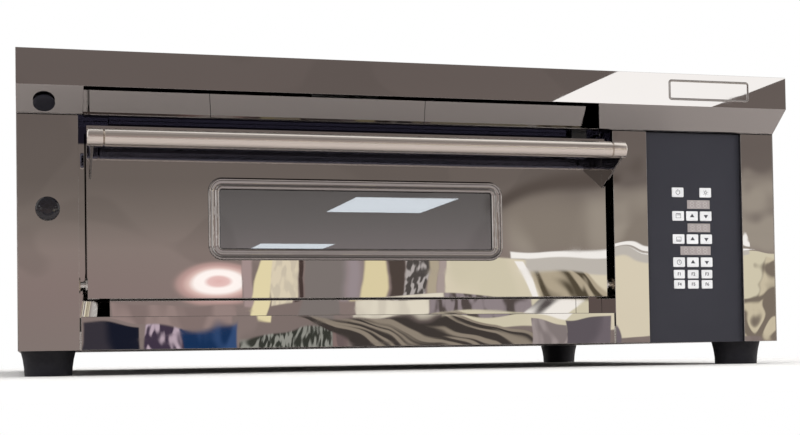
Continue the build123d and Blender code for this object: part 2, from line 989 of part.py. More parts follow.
def chamber_flue():
    """The chamber's way out to the rear, with room for the damper to slide."""
    low, high = damper_z - plenum_height / 2, damper_z + plenum_height / 2
    duct = block((plenum_left, plenum_right), (plenum_front, casing_rear), (low, high))
    duct -= block(
        (plenum_left + duct_sheet, plenum_right - duct_sheet),
        (plenum_front + duct_sheet, casing_rear - duct_sheet),
        (low + duct_sheet, high - duct_sheet),
    )
    duct += port_block(duct_sheet, (plenum_right - duct_sheet, liner_left))
    duct -= port_block(0, (plenum_right - duct_sheet - overrun, liner_left + overrun))
    duct -= bar(
        (damper_x, plenum_front - overrun, damper_z),
        ALONG_Y,
        duct_sheet + 2 * overrun,
        damper_rod_radius + damper_hole_fit,
    )
    tube, bore = spigot(damper_x, damper_z, flue_spigot_radius, casing_rear - duct_sheet)
    return duct + tube - bore


def hood_duct():
    """The crown's steam way to the rear."""
    x = (door_middle - hood_duct_width / 2, door_middle + hood_duct_width / 2)
    z = (hood_duct_base, hood_duct_base + hood_duct_height)
    crown_rear = front + crown_depth
    outer_x = (x[0] - duct_sheet, x[1] + duct_sheet)
    duct = block(outer_x, (crown_rear, casing_rear), z)
    duct -= block(x, (crown_rear - overrun, casing_rear - duct_sheet), (z[0] + duct_sheet, z[1] - duct_sheet))
    tube, bore = spigot(door_middle, hood_duct_z, hood_spigot_radius, casing_rear - duct_sheet)
    return duct + tube - bore


def damper_slide():
    """The pull rod with the plate that covers the chamber's way out."""
    plate_x = plenum_right - duct_sheet - damper_plate_gap - damper_plate_thickness
    middle = mouth_rear + port_setback
    plate_front = middle - damper_plate_length / 2
    z = (damper_z - damper_plate_height / 2, damper_z + damper_plate_height / 2)
    piece = block(
        (plate_x, plate_x + damper_plate_thickness), (plate_front, middle + damper_plate_length / 2), z
    )
    piece += block(
        (damper_x - 2 * damper_rod_radius, plate_x), (plate_front, plate_front + damper_plate_thickness), z
    )
    start = front - damper_knob_gap
    return piece + bar((damper_x, start, damper_z), ALONG_Y, plate_front - start, damper_rod_radius)


def damper_knob():
    """The domed knob on the damper's rod."""
    outline = dome_outline(damper_knob_radius, damper_knob_edge, damper_knob_height)
    return turned((damper_x, front - damper_knob_gap, damper_z), BACK_Y, outline)


def dome_outline(radius, edge, height):
    """Half the section of a domed cap, whose crown is a smooth quarter curve."""
    steps = 8
    points = [(0, 0), (radius - edge / 4, 0), (radius, edge / 4)]
    for i in range(steps + 1):
        turn = radians(90) * i / steps
        points.append((radius * cos(turn) ** (1 / 2), edge + (height - edge) * sin(turn)))
    return points[:-1] + [(0, height)]


# Hood button


def hood_button():
    """The sprung button on the crown's sloped face, with its stem and collar."""
    outline = dome_outline(button_radius, button_edge, button_height)
    points = [(radius, 0, distance + button_gap) for radius, distance in outline]
    button = revolve(make_face(Polyline(*points, close=True)), Axis.Z)
    depth = casing_sheet + button_bush_flange + button_bush_length + button_seat + button_collar_thickness
    button += Pos(0, 0, -depth) * Cylinder(button_stem_radius, depth + button_gap, align=BASE)
    button += Pos(0, 0, -depth) * Cylinder(button_collar_radius, button_collar_thickness, align=BASE)
    return button_plane * button


def button_bush():
    """The button's guide, with a flange against the inside of the slope."""
    depth = casing_sheet + button_bush_flange
    bush = Pos(0, 0, -depth) * Cylinder(button_bush_flange_radius, button_bush_flange, align=BASE)
    bush += Pos(0, 0, -depth) * Cylinder(button_bush_radius, depth + button_seat, align=BASE)
    bush += Pos(0, 0, -depth - button_bush_length) * Cylinder(
        button_bush_radius, button_bush_length, align=BASE
    )
    bush -= Cylinder(button_stem_radius + button_fit, 4 * (button_bush_length + depth))
    return button_plane * bush


# Control panel


def key_places():
    """Each key's name, middle and size, from the top row down."""
    columns = [control_left + key_column_inset + key_column_pitch * i for i in range(3)]
    keys = [
        ("power_key", columns[0], key_row_rises[0], key_width, key_height),
        ("light_key", columns[2], key_row_rises[0], key_width, key_height),
    ]
    groups = ("upper_heat", "lower_heat", "timer")
    for group, rise in zip(groups, key_row_rises[1:4]):
        for role, x in zip(("mode", "up", "down"), columns):
            keys.append((f"{group}_{role}_key", x, rise, key_width, key_height))
    number = 1
    for rise in key_row_rises[4:]:
        for x in columns:
            keys.append((f"program_{number}_key", x, rise, small_key_width, small_key_height))
            number += 1
    return [(name, x, body_base + rise, width, height) for name, x, rise, width, height in keys]


def key(x, z, width, height):
    """One key, held behind the panel by its flange."""
    rear_face = control_back + key_back
    cap = slab(x, z, width, height, key_corner, (control_front - key_proud, rear_face))
    return cap + slab(
        x,
        z,
        width + 2 * key_flange,
        height + 2 * key_flange,
        key_corner,
        (rear_face - key_flange_thickness, rear_face),
    )


def display_places():
    """Each display's left, right and middle height."""
    end = control_right - display_right_inset
    return [
        (control_left + inset, end, body_base + rise) for inset, rise in zip(display_insets, display_rises)
    ]


def control_fascia():
    """The dark panel, holed for the keys and the displays."""
    panel = block(
        (control_left - control_lap, control_right + control_lap),
        (control_front, control_back),
        (body_base, column_top),
    )
    cut = (control_front - overrun, control_back + overrun)
    for _, x, z, width, height in key_places():
        panel -= slab(x, z, width + 2 * key_fit, height + 2 * key_fit, key_corner + key_fit, cut)
    for start, end, z in display_places():
        panel -= block(
            (start - display_fit, end + display_fit),
            cut,
            (z - display_height / 2 - display_fit, z + display_height / 2 + display_fit),
        )
    return panel


def display_modules():
    """Three digit displays, flush in the panel and seated on their board."""
    return [
        block(
            (start, end),
            (control_front + display_sink, board_front),
            (z - display_height / 2, z + display_height / 2),
        )
        for start, end, z in display_places()
    ]


# Electric parts


def key_board():
    """The board behind the keys, on four posts from the panel's back."""
    places = key_places()
    low_x = min(x - width / 2 for _, x, _, width, _ in places) - board_margin
    high_x = max(x + width / 2 for _, x, _, width, _ in places) + board_margin
    low_z = min(z - height / 2 for _, _, z, _, height in places) - board_margin
    high_z = max(z + height / 2 for _, _, z, _, height in places) + board_margin
    board = block((low_x, high_x), (board_front, board_back), (low_z, high_z))
    reach = board_front - control_back
    for x in (low_x + standoff_radius, high_x - standoff_radius):
        for z in (low_z + standoff_radius, high_z - standoff_radius):
            board += bar((x, control_back, z), ALONG_Y, reach, standoff_radius)
    return board


def mains_board():
    """The main board on posts from the partition, with its large parts."""
    y = front + mains_board_setback
    z = body_base + mains_board_rise
    face = partition_right + standoff_height
    board = block(
        (face, face + board_thickness), (y, y + mains_board_length), (z, z + mains_board_height)
    )
    for dy in (standoff_inset, mains_board_length - standoff_inset):
        for dz in (standoff_inset, mains_board_height - standoff_inset):
            board += bar((partition_right, y + dy, z + dz), ALONG_X, standoff_height, standoff_radius)
    top = face + board_thickness
    for row in (1, 2, 3):
        start = y + row * mains_board_length / 4 - chip_length / 2
        for share in (1 / 3, 2 / 3):
            low = z + share * mains_board_height - chip_width / 2
            board += block((top, top + chip_height), (start, start + chip_length), (low, low + chip_width))
    return board


def electric_rail(start, end, z):
    """A top-hat mounting rail on the partition."""
    return block(
        (partition_right, partition_right + electric_rail_depth),
        (start - electric_rail_margin, end + electric_rail_margin),
        (z - electric_rail_height / 2, z + electric_rail_height / 2),
    )


def contactors():
    """Contactors in a row, on their rail."""
    face = partition_right + electric_rail_depth
    z = body_base + contactor_rise
    first = front + contactor_setback
    solids = []
    for i in range(contactor_count):
        y = first + contactor_pitch * i
        body = block(
            (face, face + contactor_depth - contactor_step),
            (y, y + contactor_length),
            (z - contactor_height / 2, z + contactor_height / 2),
        )
        body += block(
            (face, face + contactor_depth),
            (y, y + contactor_length),
            (z - contactor_height / 2 + contactor_step, z + contactor_height / 2 - contactor_step),
        )
        solids.append(body)
    last = first + contactor_pitch * (contactor_count - 1) + contactor_length
    return solids + [electric_rail(first, last, z)]


def terminals():
    """Supply terminals in a row, on their rail."""
    face = partition_right + electric_rail_depth
    z = body_base + terminal_rise
    first = front + terminal_setback
    solids = []
    for i in range(terminal_count):
        y = first + terminal_pitch * i
        solids.append(
            block(
                (face, face + terminal_depth),
                (y, y + terminal_length),
                (z - terminal_height / 2, z + terminal_height / 2),
            )
        )
    last = first + terminal_pitch * (terminal_count - 1) + terminal_length
    return solids + [electric_rail(first, last, z)]


def cable_gland():
    """The supply cable's gland in the rear panel."""
    tail = (gland_x, casing_rear - gland_tail, gland_z)
    gland = bar(tail, ALONG_Y, gland_tail + casing_sheet, gland_thread_radius)
    hexagon = extrude(RegularPolygon(gland_hex_radius, 6), gland_hex_length)
    gland += Plane(origin=(gland_x, rear, gland_z), z_dir=ALONG_Y) * hexagon
    gland += bar((gland_x, rear + gland_hex_length, gland_z), ALONG_Y, gland_dome_length, gland_dome_radius)
    nut = extrude(RegularPolygon(gland_hex_radius, 6), gland_nut_length)
    gland += Plane(origin=(gland_x, casing_rear - gland_nut_length, gland_z), z_dir=ALONG_Y) * nut
    length = gland_tail + casing_sheet + gland_hex_length + gland_dome_length
    start = casing_rear - gland_tail - overrun
    return gland - bar((gland_x, start, gland_z), ALONG_Y, length + 2 * overrun, gland_bore_radius)


# Door


def window_slab(more, radius, y, more_width=0):
    """A rounded plate on the window's middle, larger than its opening by a margin."""
    width = window_opening_width + more + more_width
    return slab(window_x, window_z, width, window_opening_height + more, radius, y)


def door_outer_skin():
    """The door's polished front pan, holed for the window and the hinge pins."""
    skin = block((door_left, door_right), (door_front, pan_rear), (door_base, door_top))
    skin -= block(
        (door_left + casing_sheet, door_right - casing_sheet),
        (door_front + casing_sheet, pan_rear + overrun),
        (door_base + casing_sheet, door_top - casing_sheet),
    )
    through = (door_front - overrun, door_front + 2 * casing_sheet)
    skin -= window_slab(window_rebate, window_opening_radius, through)
    reach = door_right - door_left + 2 * overrun
    start = (door_left - overrun, hinge_y, hinge_z)
    return skin - bar(start, ALONG_X, reach, hinge_pin_radius + support_hole_fit)


def door_inner_skin():
    """The door's back pan with its plinth and the tunnel round the window."""
    flange = block(
        (door_left + casing_sheet, door_right - casing_sheet),
        (pan_rear - casing_sheet, pan_rear),
        (door_base + casing_sheet, door_top - casing_sheet),
    )
    low_x, high_x = door_left + plinth_side_inset, door_right - plinth_side_inset
    low_z, high_z = door_base + plinth_base_inset, door_top - plinth_top_inset
    skin = flange + block((low_x, high_x), (pan_rear - casing_sheet, door_rear), (low_z, high_z))
    skin -= block(
        (low_x + casing_sheet, high_x - casing_sheet),
        (pan_rear - casing_sheet - overrun, door_rear - casing_sheet),
        (low_z + casing_sheet, high_z - casing_sheet),
    )
    lip = 2 * (window_rebate - inner_glass_lip)
    tunnel = slab(
        window_x,
        window_z,
        tunnel_width,
        tunnel_height,
        tunnel_radius + tunnel_wall,
        (outer_glass_y[1], door_rear),
    )
    tunnel -= window_slab(2 * window_rebate, tunnel_radius, (outer_glass_y[0], inner_glass_y[1]))
    skin += tunnel
    return skin - window_slab(lip, window_opening_radius, (door_front, door_rear + overrun))


def door_insulation():
    """The board inside the door, cut out round the window and the hinge nuts."""
    low_x, high_x = door_left + casing_sheet, door_right - casing_sheet
    low_z, high_z = door_base + casing_sheet, door_top - casing_sheet
    board = block(
        (low_x, high_x), (door_front + casing_sheet, pan_rear - casing_sheet), (low_z, high_z)
    )
    board += block(
        (door_left + plinth_side_inset + casing_sheet, door_right - plinth_side_inset - casing_sheet),
        (pan_rear - casing_sheet, door_rear - casing_sheet),
        (door_base + plinth_base_inset + casing_sheet, door_top - plinth_top_inset - casing_sheet),
    )
    board -= slab(
        window_x,
        window_z,
        tunnel_width,
        tunnel_height,
        tunnel_radius + tunnel_wall,
        (door_front, door_rear),
    )
    room = hinge_nut_radius + overrun
    reach = hinge_nut_thickness + hinge_pin_radius + overrun
    for low, high in ((low_x - overrun, low_x + reach), (high_x - reach, high_x + overrun)):
        board -= block((low, high), (door_front, hinge_y + room), (door_base, hinge_z + room))
    return board


def window_bezel():
    """The bright frame round the window: a flat ring with two rounded ridges."""
    base = door_front - bezel_base
    more_width = 2 * (bezel_side_width - bezel_width)
    bezel = window_slab(2 * bezel_width, bezel_corner_radius, (base, door_front), more_width)
    bezel -= window_slab(0, bezel_corner_radius - bezel_width, (base - overrun, door_front + overrun))
    for inset, widening in ((0, more_width), (bezel_width - bezel_ridge, 0)):
        outer = 2 * (bezel_width - inset)
        inner = outer - 2 * bezel_ridge
        corner = bezel_corner_radius - inset
        ridge = window_slab(outer, corner, (base - bezel_ridge / 2, base), widening)
        ridge -= window_slab(inner, corner - bezel_ridge, (base - bezel_ridge, door_front), widening)
        edges = ridge.faces().sort_by(Axis.Y)[0].edges()
        bezel += fillet(edges, bezel_ridge * bezel_round_share)
    return bezel


def window_panes():
    """The front and the rear pane of toughened glass."""
    front_pane = window_slab(2 * window_rebate, tunnel_radius, outer_glass_y)
    rear_pane = window_slab(2 * window_rebate - 2 * support_hole_fit, tunnel_radius, inner_glass_y)
    return [front_pane, rear_pane]


def handle_bar():
    """The round bar across the door and its two end sleeves."""
    start = door_middle - handle_length / 2
    tube_start = start + handle_cap_length + handle_cap_gap
    tube_length = handle_length - 2 * (handle_cap_length + handle_cap_gap)
    tube = bar((tube_start, handle_y, handle_z), ALONG_X, tube_length, handle_radius)
    bore_start = (tube_start - overrun, handle_y, handle_z)
    tube -= bar(bore_start, ALONG_X, tube_length + 2 * overrun, handle_radius - handle_wall)
    caps = []
    for end, direction in ((start, ALONG_X), (mirrored(start), BACK_X)):
        edge = handle_wall / 2
        plug = handle_radius - handle_wall - support_hole_fit
        outline = [
            (0, 0),
            (handle_radius - edge, 0),
            (handle_radius, edge),
            (handle_radius, handle_cap_length),
            (plug, handle_cap_length),
            (plug, 2 * handle_cap_length),
            (0, 2 * handle_cap_length),
        ]
        caps.append(turned((end, handle_y, handle_z), direction, outline))
    return [tube] + caps


def handle_brackets():
    """A gusset at each end of the door that stands the bar off."""
    outline = [
        (door_front, door_top - bracket_foot_drop),
        (door_front, door_top - bracket_head_drop),
        (handle_y, handle_z + handle_radius / 2),
        (handle_y - handle_radius / 2, handle_z),
        (handle_y - handle_radius / 2, handle_z - handle_radius),
    ]
    start = door_middle - handle_length / 2 + bracket_cap_inset
    brackets = []
    for low in (start, mirrored(start) - bracket_thickness):
        plate = prism(outline, (low, low + bracket_thickness))
        plate -= bar(
            (low - overrun, handle_y, handle_z),
            ALONG_X,
            bracket_thickness + 2 * overrun,
            handle_radius + hinge_fit,
        )
        brackets.append(plate)
    return brackets


# Hinge


def hinge_pin(side):
    """One hinge pin with its door flange, nut, lever and spring hook."""
    direction = (side, 0, 0)
    inward = (-side, 0, 0)
    door_side = door_left if side < 0 else door_right
    column = recess_left if side < 0 else recess_right
    lever_start = column + side * (casing_sheet + hinge_bush_length + lever_gap)
    lever_end = lever_start + side * lever_thickness
    inner_end = door_side - side * (casing_sheet + hinge_nut_thickness + hinge_pin_radius)
    pin = bar((inner_end, hinge_y, hinge_z), direction, abs(lever_end - inner_end), hinge_pin_radius)
    pin += bar((door_side, hinge_y, hinge_z), direction, hinge_flange_thickness, hinge_flange_radius)
    nut_start = door_side - side * casing_sheet
    pin += bar((nut_start, hinge_y, hinge_z), inward, hinge_nut_thickness, hinge_nut_radius)
    pin += bar((lever_start, hinge_y, hinge_z), direction, lever_thickness, hinge_boss_radius)
    tip_y = hinge_y + lever_arm
    pin += bar((lever_start, tip_y, hinge_z), direction, lever_thickness, lever_tip_radius)
    low, high = sorted((lever_start, lever_end))
    pin += block((low, high), (hinge_y, tip_y), (hinge_z - lever_tip_radius, hinge_z + lever_tip_radius))
    return pin + bar((lever_end, tip_y, hinge_z), direction, hook_length, hook_radius)


def spring_x(side):
    """The middle of a door spring, under its lever's hook."""
    column = recess_left if side < 0 else recess_right
    return column + side * (
        casing_sheet + hinge_bush_length + lever_gap + lever_thickness + hook_length / 2
    )


def door_spring(side):
    """A coil spring on two plugs, from the floor tray up to the lever's hook."""
    x, y = spring_x(side), hinge_y + lever_arm
    top = hinge_z - hook_radius
    coil_base = tray_floor + spring_stem_height
    coil_top = top - spring_stem_height
    path = Helix(spring_pitch, coil_top - coil_base - 2 * spring_wire_radius, spring_radius)
    section = Plane(origin=path @ 0, z_dir=path % 0) * Circle(spring_wire_radius)
    coil = Pos(x, y, coil_base + spring_wire_radius) * sweep(section, path=path, is_frenet=True)
    plug = spring_radius - spring_wire_radius - spring_plug_fit
    outline = [
        (0, 0),
        (spring_stem_radius, 0),
        (spring_stem_radius, spring_stem_height - spring_plug_rim),
        (spring_radius, spring_stem_height - spring_plug_rim),
        (spring_radius, spring_stem_height - spring_plug_fit),
        (plug, spring_stem_height - spring_plug_fit),
        (plug, spring_stem_height + spring_plug_height),
        (0, spring_stem_height + spring_plug_height),
    ]
    low_plug = turned((x, y, tray_floor), (0, 0, 1), outline)
    high_plug = turned((x, y, top), (0, 0, -1), outline)
    return [coil, low_plug, high_plug]


def hinge_bush(side):
    """A flanged bush in the column's return for one hinge pin."""
    column = recess_left if side < 0 else recess_right
    direction = (side, 0, 0)
    radius = hinge_pin_radius + hinge_bush_wall
    length = bush_flange_thickness + casing_sheet + hinge_bush_length
    start = column - side * bush_flange_thickness
    bush = bar((start, hinge_y, hinge_z), direction, length, radius)
    bush += bar((start, hinge_y, hinge_z), direction, bush_flange_thickness, bush_flange_radius)
    bore_start = (start - side * overrun, hinge_y, hinge_z)
    return bush - bar(bore_start, direction, length + 2 * overrun, hinge_pin_radius + hinge_fit)


def damper_bush():
    """The guide of the damper's rod, behind the left column's face."""
    start = front + casing_sheet
    bush = bar((damper_x, start, damper_z), ALONG_Y, damper_bush_length, damper_bush_radius)
    return bush - bar(
        (damper_x, start - overrun, damper_z),
        ALONG_Y,
        damper_bush_length + 2 * overrun,
        damper_rod_radius + damper_rod_fit,
    )


# Writing the sub-parts

save("base_frame", base_frame())
save("rubber_feet", *rubber_feet())
save("fasteners", *foot_bolts(), *rear_screws())
save("left_side_panel", side_panel((left, casing_left)))
save("right_side_panel", right_side_panel())
save("rear_panel", rear_panel())
save("top_panel", top_panel())
save("crown_hood", crown_hood())
save("hood_insert_panel", hood_insert_panel())
save("name_plate", name_plate())
save("left_front_column", left_front_column())
save("control_trim_inner", control_trim_inner())
save("control_trim_outer", control_trim_outer())
save("kick_panel", kick_panel())
save("mouth_frame", *mouth_frame())
save("door_switch", door_switch())
save("door_seal", door_seal())
save("chamber_liner", chamber_liner())
save("insulation", insulation())
save("baking_stone", baking_stone())
save("heating_elements", *heating_elements())
save("element_supports", *element_supports())
save("temperature_probes", *temperature_probes())
save("chamber_lamp", chamber_lamp())
save("lamp_lens", lamp_lens())
save("exhaust_ducts", chamber_flue(), hood_duct())
save("guide_bushes", hinge_bush(-1), hinge_bush(1), damper_bush(), button_bush())
save("control_fascia", control_fascia())
save("display_modules", *display_modules())
save("control_electrics", key_board(), mains_board(), *contactors(), *terminals())
save("cable_gland", cable_gland())
save("door_outer_skin", door_outer_skin())
save("door_inner_skin", door_inner_skin())
save("door_insulation", door_insulation())
save("window_bezel", window_bezel())
save("window_panes", *window_panes())
save("handle_bar", *handle_bar())
save("handle_brackets", *handle_brackets())
save("hinge_pins", hinge_pin(-1), hinge_pin(1))
save("door_springs", *door_spring(-1), *door_spring(1))
save("damper_slide", damper_slide())
save("damper_knob", damper_knob())
save("hood_button", hood_button())
for name, x, z, width, height in key_places():
    save(name, key(x, z, width, height))
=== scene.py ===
"""Electric deck oven: finishes, small details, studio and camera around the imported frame.

Metres, +Z up, in the frame's own axes: +X runs to the right of someone facing the door, which opens
towards -Y.
"""

import json
import logging
from dataclasses import dataclass
from enum import Enum
from functools import cache
from math import cos, pi, radians, sin, tau

import bmesh
import bpy
from mathutils import Matrix, Vector

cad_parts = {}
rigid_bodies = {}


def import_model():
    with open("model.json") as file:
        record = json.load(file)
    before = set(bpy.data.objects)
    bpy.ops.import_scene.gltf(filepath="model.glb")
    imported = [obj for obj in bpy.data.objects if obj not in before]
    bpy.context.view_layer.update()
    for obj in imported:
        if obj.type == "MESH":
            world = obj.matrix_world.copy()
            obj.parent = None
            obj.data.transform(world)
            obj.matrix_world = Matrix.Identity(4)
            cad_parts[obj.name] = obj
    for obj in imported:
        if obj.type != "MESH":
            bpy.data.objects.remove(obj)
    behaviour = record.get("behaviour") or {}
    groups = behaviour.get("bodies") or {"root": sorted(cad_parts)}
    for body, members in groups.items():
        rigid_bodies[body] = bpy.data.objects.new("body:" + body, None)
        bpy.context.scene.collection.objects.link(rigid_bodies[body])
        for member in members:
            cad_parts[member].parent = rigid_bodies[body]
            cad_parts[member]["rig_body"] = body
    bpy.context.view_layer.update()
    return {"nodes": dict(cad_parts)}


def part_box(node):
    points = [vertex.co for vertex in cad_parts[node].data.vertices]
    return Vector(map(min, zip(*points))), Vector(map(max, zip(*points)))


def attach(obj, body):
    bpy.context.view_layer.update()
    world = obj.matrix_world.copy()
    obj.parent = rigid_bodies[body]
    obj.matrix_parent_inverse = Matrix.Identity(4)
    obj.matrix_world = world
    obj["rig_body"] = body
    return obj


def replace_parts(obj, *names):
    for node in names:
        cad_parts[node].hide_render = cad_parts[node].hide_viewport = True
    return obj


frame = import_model()

LOG = logging.getLogger("deck_oven")
MILLIMETRE = 0.001

Colour = tuple[float, float, float]
Place = tuple[float, float, float]
Span = tuple[float, float]
Socket = bpy.types.NodeSocket
Node = bpy.types.Node
Tree = bpy.types.NodeTree
Material = bpy.types.Material
Mesh = bmesh.types.BMesh
Vert = bmesh.types.BMVert


class Symbol(Enum):
    """What a key shows on its face."""

    POWER = "power"
    LIGHT = "light"
    UP = "up"
    DOWN = "down"
    UPPER_HEAT = "upper_heat"
    LOWER_HEAT = "lower_heat"
    TIMER = "timer"
    NUMBER = "number"


class Graph:
    """Adds nodes to one node tree and links them."""

    def __init__(self, tree: Tree) -> None:
        """Starts on a tree."""
        self.tree = tree

    def node(self, kind: str, inputs: dict | None = None, **settings: object) -> Node:
        """Adds one node.

        Args:
            kind: The node's type name.
            inputs: Socket names with a value or a socket to link from.
            settings: The node's own properties.

        Returns:
            The new node.
        """
        made = self.tree.nodes.new(kind)
        for key, value in settings.items():
            setattr(made, key, value)
        for key, value in (inputs or {}).items():
            self.put(made.inputs[key], value)
        return made

    def put(self, socket: Socket, value: object) -> None:
        """Links a socket to another one, or gives it a value.

        Args:
            socket: The socket that gets it.
            value: Another socket, a number or a colour.
        """
        if isinstance(value, Socket):
            self.tree.links.new(value, socket)
        elif socket.type == "RGBA" and len(value) == 3:
            socket.default_value = (*value, 1.0)
        else:
            socket.default_value = value

    def math(self, operation: str, first: object, second: object = 0.0, clamp: bool = False) -> Socket:
        """Adds a Math node.

        Args:
            operation: The node's operation.
            first: Its first value or socket.
            second: Its second value or socket.
            clamp: Whether the result stays within 0 and 1.

        Returns:
            The result's socket.
        """
        made = self.node("ShaderNodeMath", operation=operation, use_clamp=clamp)
        self.put(made.inputs[0], first)
        self.put(made.inputs[1], second)
        return made.outputs[0]

    def product(self, first: object, second: object) -> Socket:
        """Multiplies two values."""
        return self.math("MULTIPLY", first, second)

    def less(self, first: object, second: object) -> Socket:
        """Takes the second value from the first."""
        return self.math("SUBTRACT", first, second)

    def span(
        self, value: object, low: object, high: object, start: object = 0.0, end: object = 1.0,
        smooth: bool = True,
    ) -> Socket:
        """Maps a stretch of values onto another.

        Args:
            value: The socket to map.
            low: Where the stretch starts.
            high: Where it ends.
            start: The result at its start.
            end: The result at its end.
            smooth: Whether it eases in and out.

        Returns:
            The result's socket.
        """
        made = self.node("ShaderNodeMapRange", interpolation_type="SMOOTHSTEP" if smooth else "LINEAR")
        for index, item in enumerate((value, low, high, start, end)):
            self.put(made.inputs[index], item)
        return made.outputs[0]

    def between(self, value: object, low: float, high: float, edge: float) -> Socket:
        """Makes a mask that is 1 from low to high, with soft edges.

        Args:
            value: The socket to map.
            low: Where the mask starts.
            high: Where it ends.
            edge: How far each edge reaches to either side.

        Returns:
            The mask's socket.
        """
        rise = self.span(value, low - edge, low + edge)
        fall = self.span(value, high - edge, high + edge, 1.0, 0.0)
        return self.product(rise, fall)

    def mix(self, factor: object, first: object, second: object) -> Socket:
        """Mixes two colours.

        Args:
            factor: 0 for the first, 1 for the second.
            first: The first colour or socket.
            second: The second colour or socket.

        Returns:
            The mixed colour's socket.
        """
        made = self.node("ShaderNodeMix", data_type="RGBA")
        for index, item in ((0, factor), (6, first), (7, second)):
            self.put(made.inputs[index], item)
        return made.outputs[2]

    def ramp(self, factor: object, stops: list[tuple[float, Colour]]) -> Socket:
        """Runs a value along a colour ramp.

        Args:
            factor: The socket that runs along it.
            stops: Places from 0 to 1, each with its colour.

        Returns:
            The colour's socket.
        """
        made = self.node("ShaderNodeValToRGB", {"Fac": factor})
        elements = made.color_ramp.elements
        for _ in stops[2:]:
            elements.new(0.5)
        for element, (place, _) in zip(elements, stops):
            element.position = place
        for element, (_, colour) in zip(elements, stops):
            element.color = (*colour, 1.0)
        return made.outputs[0]

    def noise(
        self, place: Socket, scale: object, detail: float = 0.0, seed: object = None, **more: float
    ) -> Socket:
        """Adds a Noise texture.

        Args:
            place: Where it is read.
            scale: How many patches there are to a unit.
            detail: How many finer layers lie on it.
            seed: Its fourth coordinate, where it has one.
            more: Other socket names with their values.

        Returns:
            The value's socket.
        """
        inputs = {"Vector": place, "Scale": scale, "Detail": detail} | more
        if seed is not None:
            inputs["W"] = seed
        dimensions = "3D" if seed is None else "4D"
        return self.node("ShaderNodeTexNoise", inputs, noise_dimensions=dimensions).outputs[0]

    def axis(self, vector: Socket, name: str) -> Socket:
        """One axis of a vector."""
        return self.node("ShaderNodeSeparateXYZ", {"Vector": vector}).outputs[name]

    def coordinate(self, kind: str) -> Socket:
        """One of the texture coordinates."""
        return self.node("ShaderNodeTexCoord").outputs[kind]


